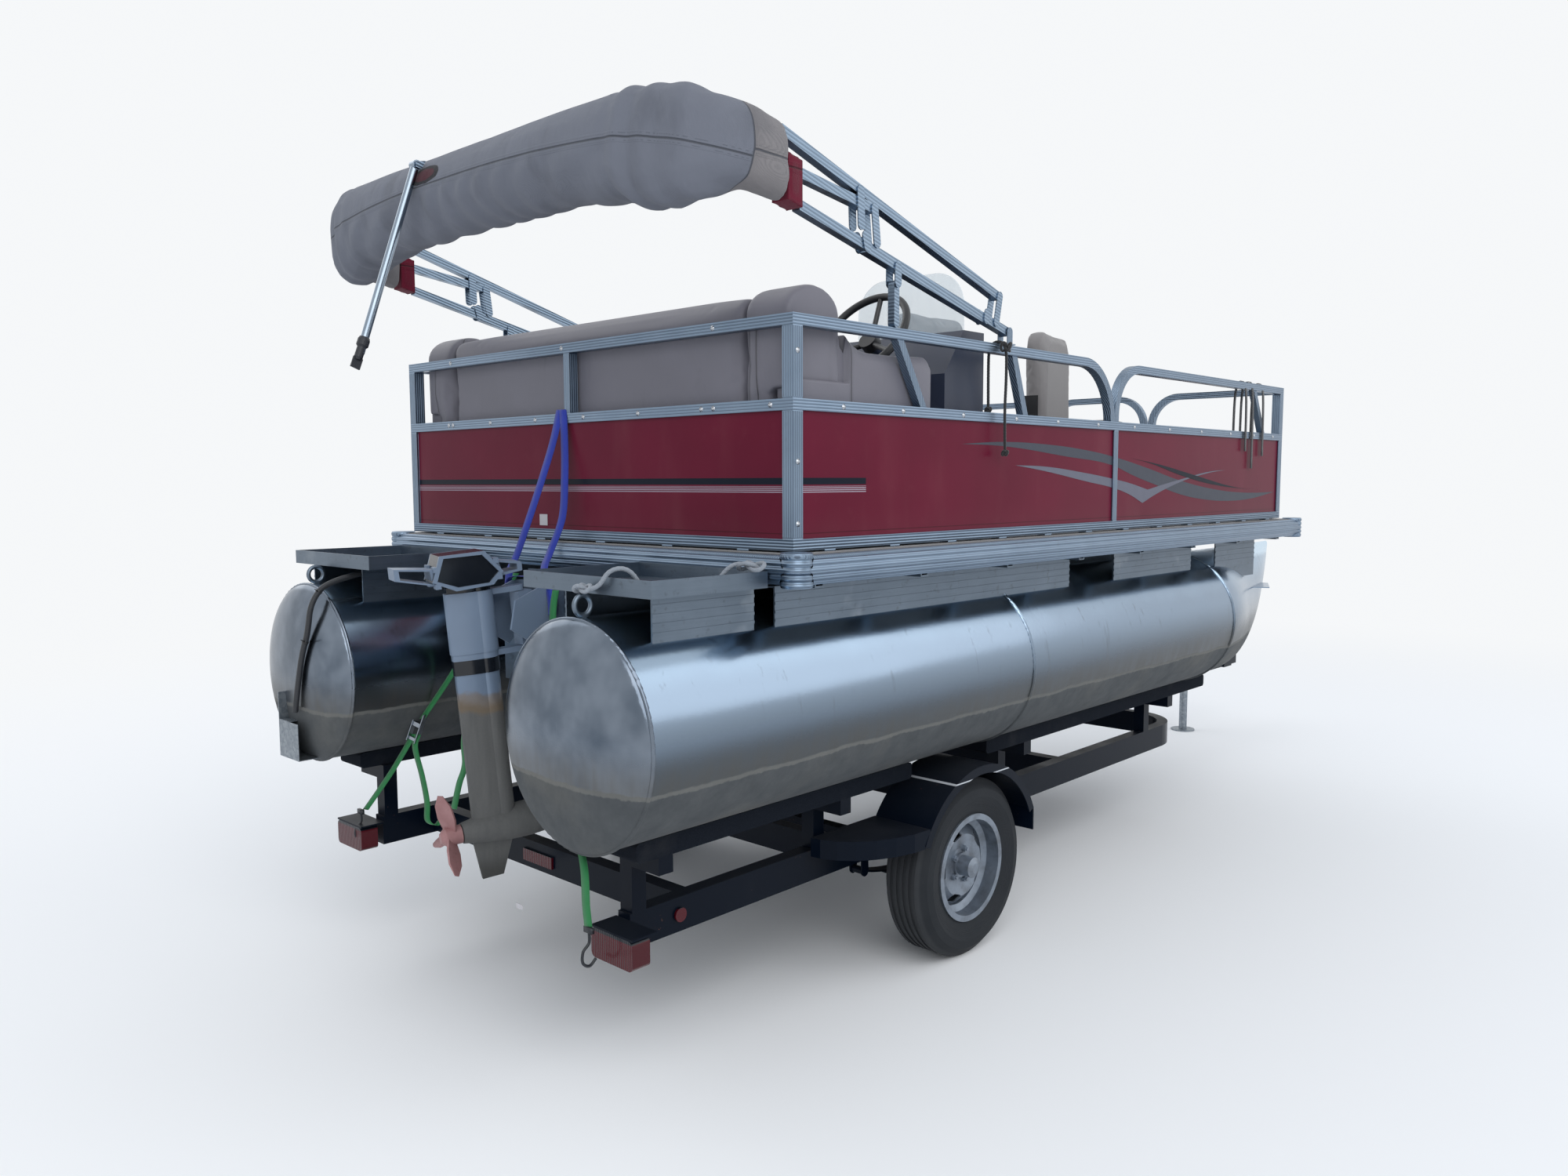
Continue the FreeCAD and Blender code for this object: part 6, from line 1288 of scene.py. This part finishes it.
class BOAT_OT_tie_downs(bpy.types.Operator):
    """Sling the webbing straps"""

    bl_idname = "boat.tie_downs"
    bl_label = "Tie Downs"

    def execute(self, context):
        slanted = (Y - X * 0.35).normalized()
        blue = bmesh.new()
        for route in BLUE_STRAPS:
            ribbon(blue, eased(route, 8), slanted, 0.028, 0.0016)
        ribbon(blue, eased(CLAMP_STRAP, 8), X, 0.020, 0.0016)
        piece_from("blue_lashing", blue, webbing("blue_webbing", (0.005, 0.030, 0.40)))
        green = bmesh.new()
        for route in GREEN_STRAPS:
            ribbon(green, eased(route, 8), slanted, 0.025, 0.0016)
        piece_from("green_tie_downs", green, webbing("green_webbing", (0.004, 0.215, 0.050)))
        black = bmesh.new()
        for x, y, drop in BOW_STRAPS:
            over = [(x, y - 0.030, 2.02 - drop), (x, y - 0.026, 2.07), (x, y, 2.128),
                    (x, y + 0.026, 2.07), (x, y + 0.030, 2.02 - drop * 0.8)]
            ribbon(black, eased(over, 6), X, 0.025, 0.0018)
        piece_from("bow_lashings", black, webbing("black_webbing", (0.006, 0.008, 0.012)))

        steel = moulded("zinc_steel", (0.30, 0.33, 0.37), 0.3, 0.2)
        steel.set({"Metallic": 1.0})
        dark = moulded("hook_black", (0.006, 0.009, 0.014), 0.4)
        ratchet = bmesh.new()
        for size, shift in RATCHET_BARS:
            half = Vector(size) / 2
            slab(ratchet, Vector(shift) - half, Vector(shift) + half, 0.0015)
        lean = facing((-2.813, 0.500, 0.817), (-0.18, 0.32, -0.93))
        bmesh.ops.transform(ratchet, matrix=lean, verts=ratchet.verts)
        piece_from("ratchet", ratchet, steel, False)
        hooks = bmesh.new()
        for place in HOOKS:
            bend = [Vector(place) + Vector(step) for step in HOOK_BEND]
            swept(hooks, eased(bend, 8), lambda place, angle: 0.0042, 10)
            eye = bmesh.ops.create_cube(hooks, size=1.0)["verts"]
            bmesh.ops.scale(hooks, vec=(0.010, 0.034, 0.016), verts=eye)
            bmesh.ops.translate(hooks, vec=Vector(place) + Z * 0.056, verts=eye)
        piece_from("strap_hooks", hooks, dark)
        return {"FINISHED"}


class BOAT_OT_stage(bpy.types.Operator):
    """Set the floor, lamps, world and camera"""

    bl_idname = "boat.stage"
    bl_label = "Stage"

    def execute(self, context):
        scene = context.scene
        settings = scene.boat_stage
        scene.view_settings.view_transform = "Standard"
        floor = bmesh.new()
        bmesh.ops.create_circle(floor, cap_ends=True, radius=60, segments=96)
        bmesh.ops.translate(floor, vec=(0, 0, -0.0005), verts=floor.verts)
        mesh = bpy.data.meshes.new("studio_floor")
        floor.to_mesh(mesh)
        floor.free()
        ground = bpy.data.objects.new("studio_floor", mesh)
        scene.collection.objects.link(ground)
        finish = Finish("studio_floor", {"Roughness": 0.9, "Specular IOR Level": 0.1})
        tone = finish.mix(finish.grain(0.8) * 0.2, tuple(settings.floor), tinted(settings.floor, 0.97))
        finish.set({"Base Color": tone})
        away = finish.node("VectorMath", {"operation": "LENGTH"}, {0: finish.coords}, "Value")
        far = finish.node("Emission", {}, {"Color": tuple(settings.backdrop)})
        shown = finish.rise(away, 2.6, 9.5) * finish.seen()
        blend = finish.node("MixShader", {}, {0: shown, 1: Level(finish, finish.shader.outputs[0]), 2: far})
        finish.tree.links.new(blend.socket, finish.tree.nodes["Material Output"].inputs["Surface"])
        mesh.materials.append(finish.material)

        world = bpy.data.worlds.new("studio")
        scene.world = world
        world.use_nodes = True
        sky = Nodes(world.node_tree)
        sky.tree.nodes.clear()
        light = sky.node("Background", {}, {"Color": (0.88, 0.93, 1.0), "Strength": settings.sky})
        shown = sky.node("Background", {}, {"Color": tuple(settings.backdrop), "Strength": 1.0})
        both = sky.node("MixShader", {}, {0: sky.seen(), 1: light, 2: shown})
        out = sky.tree.nodes.new("ShaderNodeOutputWorld")
        sky.feed(out.inputs["Surface"], both)

        for name, place, power in (
            ("key_lamp", (-7.0, -8.0, 8.5), settings.key),
            ("fill_lamp", (7.0, -9.0, 8.0), settings.fill),
            ("back_lamp", (-2.0, 10.0, 8.5), settings.fill),
        ):
            lamp = bpy.data.lights.new(name, "AREA")
            lamp.shape = "DISK"
            lamp.size = 11.0
            lamp.energy = power
            holder = bpy.data.objects.new(name, lamp)
            scene.collection.objects.link(holder)
            aim = Vector((-0.5, 0, 1.0)) - Vector(place)
            turn = aim.to_track_quat("-Z", "Y").to_matrix().to_4x4()
            holder.matrix_world = Matrix.Translation(place) @ turn

        camera = bpy.data.cameras.new("photo_camera")
        camera.sensor_fit = "HORIZONTAL"
        camera.sensor_width = 36.0
        camera.lens = settings.lens
        camera.shift_x = 0.00155
        camera.shift_y = 0.0007
        camera.clip_end = 200
        holder = bpy.data.objects.new("photo_camera", camera)
        scene.collection.objects.link(holder)
        yaw, pitch, roll = 0.751, -0.094, -0.003
        ahead = Vector((math.cos(yaw) * math.cos(pitch), math.sin(yaw) * math.cos(pitch), math.sin(pitch)))
        right = Vector((math.sin(yaw), -math.cos(yaw), 0))
        up = right.cross(ahead)
        tilted = right * math.cos(roll) + up * math.sin(roll)
        upright = up * math.cos(roll) - right * math.sin(roll)
        turn = Matrix((tilted, upright, -ahead)).transposed().to_4x4()
        holder.matrix_world = Matrix.Translation((-4.827, -3.123, 1.668)) @ turn
        scene.camera = holder
        return {"FINISHED"}


class BOAT_PT_panel(bpy.types.Panel):
    """Buttons for the boat's steps, and its colour and stage settings."""

    bl_label = "Pontoon Boat"
    bl_idname = "BOAT_PT_panel"
    bl_space_type = "VIEW_3D"
    bl_region_type = "UI"
    bl_category = "Boat"

    def draw(self, context):
        column = self.layout.column()
        for name in STEPS:
            column.operator("boat." + name)
        for group in (context.scene.boat_colours, context.scene.boat_stage):
            for name in group.__annotations__:
                column.prop(group, name)


STEPS = (
    "stage", "cords", "metalwork", "fittings", "stripes", "fasteners", "plates", "tie_downs",
    "canopy_boot", "cushions")
CLASSES = (
    BoatColours, BoatStage, BOAT_OT_stage, BOAT_OT_cords, BOAT_OT_metalwork, BOAT_OT_fittings,
    BOAT_OT_stripes, BOAT_OT_fasteners, BOAT_OT_plates, BOAT_OT_tie_downs, BOAT_OT_canopy_boot,
    BOAT_OT_cushions, BOAT_PT_panel)


def register():
    for kind in CLASSES:
        bpy.utils.register_class(kind)
    bpy.types.Scene.boat_colours = bpy.props.PointerProperty(type=BoatColours)
    bpy.types.Scene.boat_stage = bpy.props.PointerProperty(type=BoatStage)


def unregister():
    del bpy.types.Scene.boat_stage
    del bpy.types.Scene.boat_colours
    for kind in reversed(CLASSES):
        bpy.utils.unregister_class(kind)


def main():
    register()
    for name in STEPS:
        getattr(bpy.ops.boat, name)()


if __name__ == "__main__":
    main()
